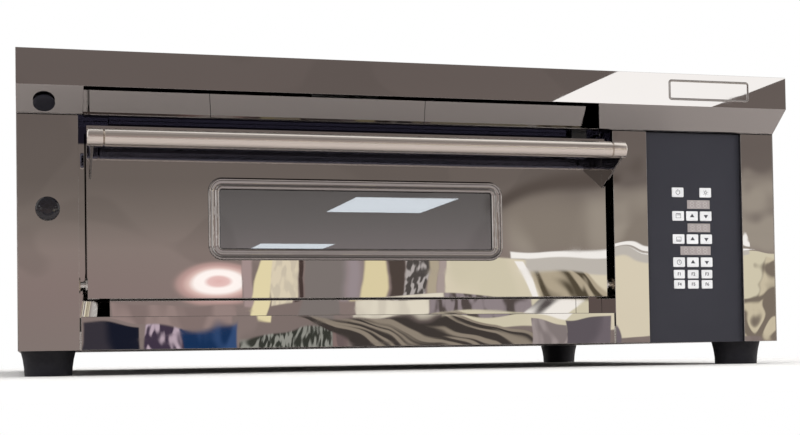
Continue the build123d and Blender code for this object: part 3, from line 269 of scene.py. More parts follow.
class Effects:
    """Shader effects that several finishes share, each built once as a node group."""

    SHORT_WAVES = 2.7
    CLOUD_EDGES = (0.3, 0.7)
    STREAK_TURN = (0.0, 0.5, 0.0)
    STREAK_STRETCH = (1.0, 1.0, 4.5)
    STREAK_EDGES = (0.48, 0.72)
    TOUCHES = 2.2
    TOUCH_EDGES = (0.05, 0.3)
    TOUCH_SHARE = 0.5
    LINE_EDGES = (0.25, 0.75)

    @staticmethod
    def group(name: str, numbers: dict[str, float], outputs: tuple[str, ...]) -> tuple[Graph, Node, Node]:
        """Starts a group with a position input, number inputs and number outputs.

        Args:
            name: The group's name.
            numbers: The number inputs with their usual values.
            outputs: The outputs' names.

        Returns:
            The group's graph, its input node and its output node.
        """
        tree = bpy.data.node_groups.new(name, "ShaderNodeTree")
        tree.interface.new_socket("Position", in_out="INPUT", socket_type="NodeSocketVector")
        for key, value in numbers.items():
            made = tree.interface.new_socket(key, in_out="INPUT", socket_type="NodeSocketFloat")
            made.default_value = value
        for key in outputs:
            tree.interface.new_socket(key, in_out="OUTPUT", socket_type="NodeSocketFloat")
        graph = Graph(tree)
        return graph, graph.node("NodeGroupInput"), graph.node("NodeGroupOutput")

    @staticmethod
    @cache
    def sheet_wave() -> Tree:
        """Long shallow waves of thin sheet, as a height.

        Returns:
            The group's tree.
        """
        numbers = {"Size": 0.3, "Tension": 0.5, "Seed": 0.0}
        graph, given, out = Effects.group("sheet wave", numbers, ("Height",))
        place, seed = given.outputs["Position"], given.outputs["Seed"]
        scale = graph.math("DIVIDE", 1.0, given.outputs["Size"])
        long = graph.noise(place, scale, seed=seed)
        short = graph.noise(place, graph.product(scale, Effects.SHORT_WAVES), seed=seed)
        small = graph.product(short, given.outputs["Tension"])
        graph.put(out.inputs["Height"], graph.math("ADD", long, small))
        return graph.tree

    @staticmethod
    @cache
    def cloud() -> Tree:
        """A soft mottle between two values.

        Returns:
            The group's tree.
        """
        graph, given, out = Effects.group("cloud", {"Size": 0.05, "Low": 0.0, "High": 1.0}, ("Value",))
        scale = graph.math("DIVIDE", 1.0, given.outputs["Size"])
        noise = graph.noise(given.outputs["Position"], scale, 4.0)
        ends = given.outputs["Low"], given.outputs["High"]
        graph.put(out.inputs["Value"], graph.span(noise, *Effects.CLOUD_EDGES, *ends, smooth=False))
        return graph.tree

    @staticmethod
    @cache
    def wipe_marks() -> Tree:
        """Faint streaks and finger marks that a cloth leaves on polished metal.

        Returns:
            The group's tree.
        """
        graph, given, out = Effects.group("wipe marks", {"Size": 0.12, "Low": 0.0, "High": 1.0}, ("Value",))
        place = given.outputs["Position"]
        scale = graph.math("DIVIDE", 1.0, given.outputs["Size"])
        turn = {"Vector": place, "Rotation": Effects.STREAK_TURN, "Scale": Effects.STREAK_STRETCH}
        turned = graph.node("ShaderNodeMapping", turn).outputs[0]
        streak = graph.noise(turned, scale, 3.0, Roughness=0.6)
        spots = {"Vector": place, "Scale": graph.product(scale, Effects.TOUCHES)}
        touch = graph.node("ShaderNodeTexVoronoi", spots).outputs["Distance"]
        spot = graph.span(touch, *Effects.TOUCH_EDGES, Effects.TOUCH_SHARE, 0.0)
        both = graph.math("ADD", graph.span(streak, *Effects.STREAK_EDGES), spot, clamp=True)
        ends = given.outputs["Low"], given.outputs["High"]
        graph.put(out.inputs["Value"], graph.span(both, 0.0, 1.0, *ends, smooth=False))
        return graph.tree

    @staticmethod
    @cache
    def brushing() -> Tree:
        """Fine lines along X, as a tone and a height.

        Returns:
            The group's tree.
        """
        graph, given, out = Effects.group("brushing", {"Pitch": 0.0006, "Length": 0.06}, ("Tone", "Height"))
        across = graph.math("DIVIDE", 1.0, given.outputs["Pitch"])
        along = graph.math("DIVIDE", 1.0, given.outputs["Length"])
        scale = graph.node("ShaderNodeCombineXYZ", {"X": along, "Y": across, "Z": across})
        stretched = graph.node("ShaderNodeVectorMath", operation="MULTIPLY")
        graph.put(stretched.inputs[0], given.outputs["Position"])
        graph.put(stretched.inputs[1], scale.outputs[0])
        noise = graph.noise(stretched.outputs[0], 1.0, 2.0)
        graph.put(out.inputs["Tone"], graph.span(noise, *Effects.LINE_EDGES))
        graph.put(out.inputs["Height"], noise)
        return graph.tree

    @staticmethod
    @cache
    def pores() -> Tree:
        """Small round pits, as a mask and a height.

        Returns:
            The group's tree.
        """
        graph, given, out = Effects.group("pores", {"Size": 0.004, "Cover": 0.3}, ("Mask", "Height"))
        scale = graph.math("DIVIDE", 1.0, given.outputs["Size"])
        cells = graph.node("ShaderNodeTexVoronoi", {"Vector": given.outputs["Position"], "Scale": scale})
        pit = graph.span(cells.outputs["Distance"], 0.0, given.outputs["Cover"], smooth=False)
        graph.put(out.inputs["Mask"], graph.less(1.0, pit))
        graph.put(out.inputs["Height"], pit)
        return graph.tree


@dataclass(frozen=True)
class Finish:
    """A named surface: its slot in the record, its colour and its gloss."""

    TONES = (0.93, 1.07)
    GLOSS = (0.88, 1.12)
    TONE_PATCH = 0.03
    GLOSS_PATCH = 0.012

    name: str
    slot: str
    colour: Colour
    roughness: float = 0.4
    metallic: float = 0.0

    def start(self) -> tuple[Material, Graph, Node, Socket]:
        """Makes the material with its shader.

        Returns:
            The material, its graph, the shader node and the position socket.
        """
        material = bpy.data.materials.new(self.name)
        material.use_nodes = True
        graph = Graph(material.node_tree)
        shader = material.node_tree.nodes["Principled BSDF"]
        graph.put(shader.inputs["Base Color"], self.colour)
        graph.put(shader.inputs["Roughness"], self.roughness)
        graph.put(shader.inputs["Metallic"], self.metallic)
        return material, graph, shader, graph.coordinate("Object")

    def effect(self, graph: Graph, group: Tree, position: Socket, **numbers: float) -> Node:
        """Places a shared effect.

        Args:
            graph: The material's graph.
            group: The effect.
            position: Where the pattern is read.
            numbers: The effect's own values.

        Returns:
            The group node.
        """
        made = graph.node("ShaderNodeGroup", node_tree=group)
        graph.put(made.inputs["Position"], position)
        for key, value in numbers.items():
            made.inputs[key].default_value = value
        return made

    def cloud(
        self, graph: Graph, position: Socket, size: float, low: float = 0.0, high: float = 1.0
    ) -> Socket:
        """Places the soft mottle."""
        return self.effect(graph, Effects.cloud(), position, Size=size, Low=low, High=high).outputs[0]

    def wiped(self, graph: Graph, shader: Node, position: Socket, size: float) -> None:
        """Lets wipe marks vary the gloss.

        Args:
            graph: The material's graph.
            shader: The shader node.
            position: Where the pattern is read.
            size: How large the marks are.
        """
        low, high = self.glosses()
        marks = self.effect(graph, Effects.wipe_marks(), position, Size=size, Low=low, High=high)
        graph.put(shader.inputs["Roughness"], marks.outputs[0])

    def tint(self, factor: float) -> Colour:
        """The finish's colour, lighter or darker."""
        return tuple(min(1.0, channel * factor) for channel in self.colour)

    def tones(self) -> tuple[Colour, Colour]:
        """The darkest and the lightest tone."""
        return self.tint(self.TONES[0]), self.tint(self.TONES[1])

    def glosses(self) -> Span:
        """The lowest and the highest roughness."""
        return self.roughness * self.GLOSS[0], self.roughness * self.GLOSS[1]

    def bump(
        self, graph: Graph, shader: Node, height: object, depth: float, under: Node | None = None
    ) -> Node:
        """Feeds a height into the shader's normal.

        Args:
            graph: The material's graph.
            shader: The shader node.
            height: The height's socket.
            depth: How far the height reaches, in metres.
            under: A bump that this one lies on.

        Returns:
            The bump node.
        """
        made = graph.node("ShaderNodeBump", {"Height": height, "Distance": depth})
        if under is not None:
            graph.put(made.inputs["Normal"], under.outputs[0])
        graph.put(shader.inputs["Normal"], made.outputs[0])
        return made

    def build(self) -> Material:
        """Builds a plain moulded or painted surface, slightly mottled.

        Returns:
            The material.
        """
        material, graph, shader, position = self.start()
        mottle = self.cloud(graph, position, self.TONE_PATCH)
        graph.put(shader.inputs["Base Color"], graph.mix(mottle, *self.tones()))
        graph.put(shader.inputs["Roughness"], self.cloud(graph, position, self.GLOSS_PATCH, *self.glosses()))
        return material


@dataclass(frozen=True)
class MirrorSheet(Finish):
    """Polished stainless sheet, with the long waves that thin sheet has, and painted shade above given
    levels.
    """

    TONES = (0.97, 1.03)
    GLOSS = (1.0, 4.0)
    TONE_PATCH = 0.5
    MARK_SIZE = 0.14
    CALM_EDGE = 0.2
    SIDEWAYS = 0.7

    wave_depth: float = 0.0008
    wave_size: float = 0.3
    tension: float = 0.25
    seed: float = 0.0
    calm_until: float = -10.0
    calm_share: float = 1.0
    # Painted shade: between these levels the colour turns to a dark one that stands in for shade.
    shade: Span | None = None
    shade_colour: Colour = (0.028, 0.028, 0.05)
    sag: Span | None = None
    sag_slope: float = 0.1728

    def build(self) -> Material:
        """Builds mirror gloss with wipe marks and shallow waves, and painted shade above the given levels.

        Returns:
            The material.
        """
        material, graph, shader, position = self.start()
        level = graph.axis(position, "Z")
        tone = graph.mix(self.cloud(graph, position, self.TONE_PATCH), *self.tones())
        # Painted shade: above the given levels the tone is mixed towards the dark colour.
        if self.shade:
            tone = graph.mix(graph.span(level, *self.shade), tone, self.shade_colour)
        graph.put(shader.inputs["Base Color"], tone)
        self.wiped(graph, shader, position, self.MARK_SIZE)
        numbers = {"Size": self.wave_size, "Tension": self.tension, "Seed": self.seed}
        height = self.effect(graph, Effects.sheet_wave(), position, **numbers).outputs[0]
        if self.calm_share < 1.0:
            start, end = self.calm_until - self.CALM_EDGE, self.calm_until + self.CALM_EDGE
            share = graph.span(graph.axis(position, "X"), start, end, self.calm_share, 1.0)
            height = graph.product(height, share)
        waves = self.bump(graph, shader, height, self.wave_depth)
        if self.sag:
            self.lean(graph, shader, level, waves)
        return material

    def lean(self, graph: Graph, shader: Node, level: Socket, waves: Node) -> None:
        """Leans the reflection between two levels, on faces that don't look sideways.

        Args:
            graph: The material's graph.
            shader: The shader node.
            level: The height above the floor.
            waves: The bump that lies under it.
        """
        low, high = self.sag
        drop = graph.span(level, low, high, 0.0, -self.sag_slope * (high - low), smooth=False)
        sideways = graph.math("ABSOLUTE", graph.axis(graph.coordinate("Normal"), "X"))
        front = graph.math("LESS_THAN", sideways, self.SIDEWAYS)
        self.bump(graph, shader, graph.product(drop, front), 1.0, waves)


@dataclass(frozen=True)
class BrushedMetal(Finish):
    """Metal with fine lines along X."""

    GLOSS = (0.8, 1.25)

    pitch: float = 0.0005
    length: float = 0.05
    depth: float = 0.00001
    contrast: float = 0.14

    def build(self) -> Material:
        """Builds lines in tone, gloss and height.

        Returns:
            The material.
        """
        material, graph, shader, position = self.start()
        lines = self.effect(graph, Effects.brushing(), position, Pitch=self.pitch, Length=self.length)
        tone = lines.outputs["Tone"]
        dark, light = self.tint(1 - self.contrast), self.tint(1 + self.contrast)
        graph.put(shader.inputs["Base Color"], graph.mix(tone, dark, light))
        graph.put(shader.inputs["Roughness"], graph.span(tone, 0.0, 1.0, *self.glosses()))
        self.bump(graph, shader, lines.outputs["Height"], self.depth)
        return material


@dataclass(frozen=True)
class HandleSteel(BrushedMetal):
    """Brushed tube whose rear half, away from the light, carries painted shade: a dark blue-grey colour
    stands in for the shade there.
    """

    REAR_EDGE = 0.004

    # Painted shade: from this depth back, the tube's colour turns to a dark blue-grey that stands in for
    # shade.
    rear_from: float = -0.5565
    rear_painted_shade_colour: Colour = (0.2, 0.21, 0.29)

    def build(self) -> Material:
        """Builds the brushed metal with painted shade on its rear half.

        Returns:
            The material.
        """
        material = super().build()
        graph = Graph(material.node_tree)
        shader = material.node_tree.nodes["Principled BSDF"]
        lines = shader.inputs["Base Color"].links[0].from_socket
        depth = graph.axis(graph.coordinate("Object"), "Y")
        # Painted shade: the rear of the tube is mixed towards the dark colour.
        rear = graph.span(depth, self.rear_from, self.rear_from + self.REAR_EDGE)
        graph.put(shader.inputs["Base Color"], graph.mix(rear, lines, self.rear_painted_shade_colour))
        return material


@dataclass(frozen=True)
class Mottled(Finish):
    """A surface with a second colour in patches and a fine relief."""

    GLOSS = (0.85, 1.15)
    GLOSS_SHARE = 0.4

    second: Colour = (0.5, 0.5, 0.5)
    patch: float = 0.03
    relief: float = 0.0001
    relief_size: float = 0.002
    sheen: float = 0.5

    def build(self) -> Material:
        """Builds two colours in patches, and a relief of its own size.

        Returns:
            The material.
        """
        material, graph, shader, position = self.start()
        shader.inputs["Specular IOR Level"].default_value = self.sheen
        patches = self.cloud(graph, position, self.patch)
        graph.put(shader.inputs["Base Color"], graph.mix(patches, self.colour, self.second))
        gloss = self.cloud(graph, position, self.patch * self.GLOSS_SHARE, *self.glosses())
        graph.put(shader.inputs["Roughness"], gloss)
        self.bump(graph, shader, self.cloud(graph, position, self.relief_size), self.relief)
        return material


@dataclass(frozen=True)
class FiredClay(Mottled):
    """Coarse fired clay with open pores."""

    PORE_COVER = 0.28
    PORE_TONE = 0.45

    pore: float = 0.005

    def build(self) -> Material:
        """Builds patches of two colours, grain and darker pits.

        Returns:
            The material.
        """
        material, graph, shader, position = self.start()
        body = graph.mix(self.cloud(graph, position, self.patch), self.colour, self.second)
        pits = self.effect(graph, Effects.pores(), position, Size=self.pore, Cover=self.PORE_COVER)
        graph.put(
            shader.inputs["Base Color"], graph.mix(pits.outputs["Mask"], body, self.tint(self.PORE_TONE))
        )
        under = self.bump(graph, shader, self.cloud(graph, position, self.relief_size), self.relief)
        self.bump(graph, shader, pits.outputs["Height"], self.relief * 2, under)
        return material


@dataclass(frozen=True)
class TintedGlass(Finish):
    """Grey toughened glass."""

    GLOSS = (1.0, 3.0)
    MARK_SIZE = 0.1

    index: float = 1.5
    sheen: Colour = (1.0, 1.0, 1.0)

    def build(self) -> Material:
        """Builds clear tinted glass with faint marks in its gloss.

        Returns:
            The material.
        """
        material, graph, shader, position = self.start()
        graph.put(shader.inputs["Specular Tint"], self.sheen)
        shader.inputs["Transmission Weight"].default_value = 1.0
        shader.inputs["IOR"].default_value = self.index
        self.wiped(graph, shader, position, self.MARK_SIZE)
        return material


STEEL: Colour = (0.365, 0.352, 0.343)


def mirror(name: str, seed: float, **values: object) -> MirrorSheet:
    """The polished sheet of one panel, with waves of its own."""
    return MirrorSheet(name, "polished_steel", STEEL, 0.006, 1.0, seed=seed, **values)


MILL_SHEET = BrushedMetal(
    "mill_sheet", "plain_steel", (0.52, 0.515, 0.505), 0.3, 1.0, pitch=0.0012, length=0.12, depth=0.000004,
    contrast=0.06,
)
ZINC = Mottled(
    "zinc_plate", "zinc_steel", (0.56, 0.56, 0.55), 0.3, 1.0, second=(0.68, 0.68, 0.66), patch=0.006,
    relief=0.00001, relief_size=0.001,
)
HANDLE_TUBE = HandleSteel(
    "brushed_handle", "brushed_handle", (0.70, 0.655, 0.61), 0.2, 1.0, pitch=0.0013, length=2.6,
    depth=0.000004, contrast=0.11,
)
# Painted shade: above about 0.321 m the bezel's outermost top band is coloured dark to stand for shade.
BEZEL_CHROME = MirrorSheet(
    "bezel_chrome", "bezel_chrome", (0.37, 0.355, 0.35), 0.006, 1.0, wave_depth=0.00015, wave_size=0.05,
    tension=0.5, seed=3.0, shade=(0.3203, 0.3210), shade_colour=(0.045, 0.038, 0.036),
)
RUBBER = Mottled(
    "foot_rubber", "foot_rubber", (0.009, 0.009, 0.013), 0.6, 0.0, second=(0.014, 0.014, 0.019), patch=0.02,
    relief=0.00008, relief_size=0.0012, sheen=0.3,
)
SEAL = Mottled(
    "seal_cord", "seal_cord", (0.07, 0.066, 0.06), 0.9, 0.0, second=(0.12, 0.112, 0.1), patch=0.004,
    relief=0.0004, relief_size=0.0016,
)
SWITCH_PLASTIC = Finish("switch_plastic", "switch_plastic", (0.03, 0.03, 0.035), 0.35)
WOOL = Mottled(
    "mineral_wool", "mineral_wool", (0.58, 0.5, 0.28), 0.95, 0.0, second=(0.72, 0.65, 0.42), patch=0.02,
    relief=0.0012, relief_size=0.004,
)
CLAY = FiredClay(
    "fired_clay", "fire_clay", (0.62, 0.55, 0.45), 0.85, 0.0, second=(0.72, 0.66, 0.56), patch=0.08,
    relief=0.0002, relief_size=0.0015,
)
ELEMENT = Mottled(
    "element_sheath", "element_steel", (0.16, 0.155, 0.15), 0.42, 1.0, second=(0.28, 0.25, 0.22), patch=0.02,
    relief=0.00003, relief_size=0.001,
)
BRASS = Mottled(
    "turned_bronze", "bush_brass", (0.42, 0.36, 0.28), 0.28, 1.0, second=(0.48, 0.41, 0.32), patch=0.01,
    relief=0.00001, relief_size=0.0008,
)
PANEL_PAINT = Mottled(
    "panel_paint", "panel_paint", (0.025, 0.026, 0.036), 0.5, 0.0, second=(0.029, 0.030, 0.041), patch=0.2,
    relief=0.00002, relief_size=0.0006, sheen=0.4,
)
DISPLAY_FACE = Finish("display_face", "display_face", (0.37, 0.33, 0.325), 0.22)
DISPLAY_SEGMENT = Finish("display_segment", "display_face", (0.5, 0.455, 0.445), 0.3)
BOARD = Mottled(
    "circuit_board", "electric_parts", (0.03, 0.12, 0.06), 0.4, 0.0, second=(0.04, 0.15, 0.08), patch=0.01,
    relief=0.00005, relief_size=0.002,
)
BLACK_PLASTIC = Mottled(
    "black_plastic", "black_plastic", (0.008, 0.008, 0.013), 0.45, 0.0, second=(0.011, 0.011, 0.017),
    patch=0.01, relief=0.00003, relief_size=0.0007, sheen=0.25,
)
BLACK_GLOSS = Mottled(
    "black_gloss", "black_gloss", (0.003, 0.003, 0.006), 0.06, 0.0, second=(0.005, 0.005, 0.008), patch=0.02,
    relief=0.0, relief_size=0.002, sheen=0.6,
)
# Painted shade: a dark chrome for the bezel's groove steps, standing in for the shade that lies in them.
BEZEL_GROOVE_PAINTED_SHADE = Mottled(
    "bezel_groove_painted_shade", "bezel_chrome", (0.06, 0.055, 0.055), 0.08, 1.0, second=(0.09, 0.085, 0.085), patch=0.05,
    relief=0.000002, relief_size=0.02,
)
SHADOW_LINE = Finish("shadow_line", "black_plastic", (0.03, 0.027, 0.026), 0.6)
KEY_WHITE = Finish("key_white", "key_plastic", (0.8, 0.8, 0.81), 0.35)
KEY_PRINT = Finish("key_print", "black_plastic", (0.05, 0.05, 0.06), 0.5)
GLASS = TintedGlass(
    "tinted_glass", "window_glass", (0.16, 0.16, 0.18), 0.004, 0.0, index=3.1, sheen=(0.87, 0.94, 1.0)
)
LAMP_GLASS = TintedGlass("lamp_glass", "window_glass", (0.9, 0.9, 0.88), 0.12)


class Workshop:
    """Makes pieces from bmeshes and dresses the frame's nodes."""

    WELD = 0.00001
    FLAT = 0.4
    SHARP = 32.0
    STEADY = 100

    @staticmethod
    @cache
    def material(finish: Finish) -> Material:
        """The finish's material, built the first time that it is asked for."""
        return finish.build()

    @classmethod
    def dress(cls, finish: Finish, *nodes: str) -> None:
        """Gives frame nodes their finish.

        Args:
            finish: What their surface is.
            nodes: The nodes' names.
        """
        for node in nodes:
            mesh = frame["nodes"][node].data
            mesh.materials.clear()
            mesh.materials.append(cls.material(finish))
            LOG.info("dressed %s in %s", node, finish.name)

    @classmethod
    def piece(
        cls, shape: Mesh, name: str, body: str, finish: Finish, smooth: float = 35.0
    ) -> bpy.types.Object:
        """Turns a bmesh into a piece that rides on a body.

        Args:
            shape: The finished shape, freed here.
            name: The piece's name.
            body: The body that carries it.
            finish: What its surface is.
            smooth: The angle in degrees under which an edge is smooth.

        Returns:
            The new object.
        """
        mesh = bpy.data.meshes.new(name)
        shape.to_mesh(mesh)
        shape.free()
        mesh.materials.append(cls.material(finish))
        mesh.polygons.foreach_set("use_smooth", [True] * len(mesh.polygons))
        mesh.set_sharp_from_angle(angle=radians(smooth))
        made = bpy.data.objects.new(name, mesh)
        bpy.context.scene.collection.objects.link(made)
        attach(made, body)
        LOG.info("made %s on %s", name, body)
        return made

    @classmethod
    def formed(cls, node: str, finish: Finish, width: float, segments: int = 3) -> bpy.types.Object:
        """A copy of a node with its edges rounded, which stands for the node.

        Args:
            node: The node that is copied.
            finish: What its surface is.
            width: How far each edge is rounded.
            segments: How many faces round an edge.

        Returns:
            The new object.
        """
        shape = bmesh.new()
        shape.from_mesh(frame["nodes"][node].data)
        bmesh.ops.remove_doubles(shape, verts=shape.verts, dist=cls.WELD)
        bmesh.ops.dissolve_limit(
            shape, angle_limit=radians(cls.FLAT), use_dissolve_boundaries=False, verts=shape.verts,
            edges=shape.edges,
        )
        sharp = [e for e in shape.edges if e.is_manifold and e.calc_face_angle(0.0) > radians(cls.SHARP)]
        bmesh.ops.bevel(
            shape, geom=sharp, offset=width, offset_type="OFFSET", segments=segments, profile=0.5,
            affect="EDGES", clamp_overlap=True, material=-1,
        )
        made = cls.piece(shape, f"{node}_formed", frame["nodes"][node]["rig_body"], finish)
        steady = made.modifiers.new("steady faces", "WEIGHTED_NORMAL")
        steady.weight = cls.STEADY
        steady.keep_sharp = True
        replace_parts(made, node)
        return made


class Shape:
    """Small bmesh shapes, each made where it is used."""

    CORNER_FACES = 14

    @staticmethod
    def block(shape: Mesh, low: Place, high: Place) -> None:
        """Adds a box between two corners.

        Args:
            shape: The bmesh that gets it.
            low: Its lowest corner.
            high: Its highest corner.
        """
        size = [b - a for a, b in zip(low, high)]
        middle = [(a + b) / 2 for a, b in zip(low, high)]
        matrix = Matrix.Translation(middle) @ Matrix.Diagonal((*size, 1.0))
        bmesh.ops.create_cube(shape, size=1.0, matrix=matrix)

    @staticmethod
    def bands(shape: Mesh, rows: list[list[Vert]], closed: bool) -> None:
        """Joins rows of vertices with faces, in order. A row of one vertex is a tip.

        Args:
            shape: The bmesh that holds them.
            rows: The rows, each with as many vertices as the next, or with one.
            closed: Whether the last vertex of a row is joined to its first.
        """
        for first, second in zip(rows, rows[1:]):
            count = max(len(first), len(second))
            for step in range(count if closed else count - 1):
                ways = ((first, step), (second, step), (second, step + 1), (first, step + 1))
                corners = [row[place % len(row)] for row, place in ways]
                shape.faces.new(list(dict.fromkeys(corners)))

    @staticmethod
    def lathe(outline: list[Span], matrix: Matrix, steps: int) -> Mesh:
        """Turns (radius, height) points round Z and places the result.

        Args:
            outline: The points, from the axis outwards and back to it.
            matrix: Where Z's foot and direction go.
            steps: How many faces go round.

        Returns:
            The bmesh.
        """
        shape = bmesh.new()
        turns = [tau * step / steps for step in range(steps)]
        rows = []
        for radius, height in outline:
            ring = turns if radius else turns[:1]
            points = [(radius * cos(turn), radius * sin(turn), height) for turn in ring]
            rows.append([shape.verts.new(matrix @ Vector(point)) for point in points])
        Shape.bands(shape, rows, True)
        bmesh.ops.recalc_face_normals(shape, faces=shape.faces)
        return shape

    @staticmethod
    def rolled(
        low: Vector, high: Vector, corner: float, steps: tuple[Span, ...], open_middle: bool,
        grooves: tuple[int, ...] = (),
    ) -> Mesh:
        """A plate or ring that faces -Y, with rounded corners and a rolled rim.

        Args:
            low: The lowest corner of its box.
            high: The highest corner, on the plane that it lies against.
            corner: The radius of its corners.
            steps: How far in from the rim, each with how far it stands proud there, in millimetres.
            open_middle: Whether the middle is left open.
            grooves: Which steps get the piece's second finish; on the bezel that finish is painted shade.

        Returns:
            The bmesh.
        """
        shape = bmesh.new()
        corners = ((low.x, low.z), (high.x, low.z), (high.x, high.z), (low.x, high.z))
        shape.faces.new([shape.verts.new((x, high.y, z)) for x, z in corners])
        bmesh.ops.bevel(
            shape, geom=list(shape.verts), offset=corner, offset_type="OFFSET", segments=Shape.CORNER_FACES,
            profile=0.5, affect="VERTICES", material=-1,
        )
        shape.normal_update()
        plate = shape.faces[:][0]
        reached, raised = 0.0, 0.0
        for index, (reach, rise) in enumerate(steps):
            step, lift = (reach - reached) * MILLIMETRE, (rise - raised) * MILLIMETRE
            band = bmesh.ops.inset_region(
                shape, faces=[plate], thickness=step, depth=lift, use_even_offset=True, use_boundary=True
            )["faces"]
            # Steps listed in grooves take material 1, which on the bezel is painted shade.
            for face in band:
                face.material_index = int(index in grooves)
            shape.normal_update()
            reached, raised = reach, rise
        if open_middle:
            bmesh.ops.delete(shape, geom=[plate], context="FACES_ONLY")
        return shape

    @staticmethod
    def print_on(shape: Mesh, centre: Vector, raise_by: float) -> None:
        """Stands a flat mark upright on a face that looks towards -Y, and gives it a thickness.

        Args:
            shape: The bmesh that holds the mark alone, drawn in X and Y.
            centre: Where its middle goes on the face.
            raise_by: The print's thickness.
        """
        flat, rim = shape.faces[:], [edge for edge in shape.edges if edge.is_boundary]
        shape.verts.index_update()
        lift = Vector((0, 0, raise_by))
        top = [shape.verts.new(vert.co + lift) for vert in shape.verts[:]]
        for face in flat:
            shape.faces.new([top[vert.index] for vert in face.verts])
        for first, second in [edge.verts[:] for edge in rim]:
            shape.faces.new((first, second, top[second.index], top[first.index]))
        bmesh.ops.recalc_face_normals(shape, faces=shape.faces)
        upright = Matrix.Translation(centre) @ Matrix.Rotation(pi / 2, 4, "X")
        bmesh.ops.transform(shape, matrix=upright, verts=shape.verts)


@dataclass
class Casing:
    """The folded sheet round the oven, from the crown to the kick panel."""

    fold: float = 0.0019
    hem: float = 0.0005
    slope: Span = (0.4215, 0.4575)
    plate_corner: float = 0.006
    plate_rim: tuple[Span, ...] = (
        (0.25, 0.5), (0.7, 1.1), (1.4, 1.4), (2.1, 1.2), (2.7, 0.6), (3.2, 0.45), (4.2, 0.45)
    )
    insert_seams: tuple[Span, ...] = ((-0.3603, -0.3671), (0.0058, -0.0038))
    insert_foot: Span = (-0.4832, 0.4220)
    insert_head: Span = (-0.5243, 0.4535)
    seam_width: float = 0.0011
    seam_proud: float = 0.00015

    def panels(self) -> dict[str, tuple[Finish, float]]:
        """Each polished panel's node, with its finish and its fold.

        Returns:
            The nodes' names, each with its finish and how far its edges are rounded.
        """
        return {
            "crown_hood": (
                mirror("crown_sheet", 1.0, wave_depth=0.00035, wave_size=0.5, sag=self.slope), self.hem
            ),
            "hood_insert_panel": (mirror("insert_sheet", 2.0, wave_depth=0.0002, sag=self.slope), self.hem),
            "left_side_panel": (mirror("left_side_sheet", 3.0, wave_depth=0.0012, wave_size=0.35), self.hem),
            "right_side_panel": (
                mirror("right_side_sheet", 4.0, wave_depth=0.0012, wave_size=0.35), self.hem
            ),
            "top_panel": (mirror("top_sheet", 5.0, wave_depth=0.0010, wave_size=0.4), self.hem),
            "rear_panel": (mirror("rear_sheet", 6.0, wave_depth=0.0010, wave_size=0.4), self.hem),
            "left_front_column": (
                mirror("left_column_sheet", 7.0, wave_depth=0.0002, wave_size=0.3), self.fold
            ),
            "control_trim_inner": (
                mirror("inner_trim_sheet", 8.0, wave_depth=0.0012, wave_size=0.16), self.fold
            ),
            "control_trim_outer": (
                mirror("outer_trim_sheet", 9.0, wave_depth=0.0020, wave_size=0.13), self.fold
            ),
            "kick_panel": (mirror("kick_sheet", 10.0, wave_depth=0.0007, wave_size=0.17), self.fold),
            # Painted shade: above 0.38 m the mouth frame is coloured dark, for the dark interior that it
            # mirrors there.
            "mouth_frame": (
                mirror("mouth_sheet", 11.0, wave_depth=0.0003, wave_size=0.15, shade=(0.380, 0.384)),
                self.hem,
            ),
        }

    def seam(self, index: int, foot: float, head: float) -> None:
        """Lays the dark butt line of two insert sheets.

        Args:
            index: The seam's number from the left.
            foot: Where it starts along X at the panel's foot.
            head: Where it ends at the panel's head.
        """
        shape = bmesh.new()
        half, proud = self.seam_width / 2, self.seam_proud
        low, high = self.insert_foot, self.insert_head
        corners = ((foot - half, low), (foot + half, low), (head + half, high), (head - half, high))
        shape.faces.new([shape.verts.new((x, y - proud, z)) for x, (y, z) in corners])
        Workshop.piece(shape, f"insert_seam_{index}", "cabinet", SHADOW_LINE)

    def build(self) -> None:
        """Forms every panel and dresses what lies under them."""
        for node, (finish, width) in self.panels().items():
            Workshop.formed(node, finish, width)
        low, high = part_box("name_plate")
        plate = Shape.rolled(low, high, self.plate_corner, self.plate_rim, False)
        finish = mirror("plate_sheet", 12.0, wave_depth=0.00005, wave_size=0.08)
        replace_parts(Workshop.piece(plate, "name_plate_rolled", "cabinet", finish, 50.0), "name_plate")
        for index, (foot, head) in enumerate(self.insert_seams, 1):
            self.seam(index, foot, head)
        Workshop.dress(MILL_SHEET, "base_frame", "exhaust_ducts")
        Workshop.dress(ZINC, "fasteners", "door_springs", "hinge_pins")
        Workshop.dress(RUBBER, "rubber_feet")
        Workshop.dress(BRASS, "guide_bushes")
        Workshop.dress(SWITCH_PLASTIC, "door_switch")
        Workshop.dress(SEAL, "door_seal")
        Workshop.dress(WOOL, "insulation")
        Workshop.dress(BLACK_PLASTIC, "cable_gland")


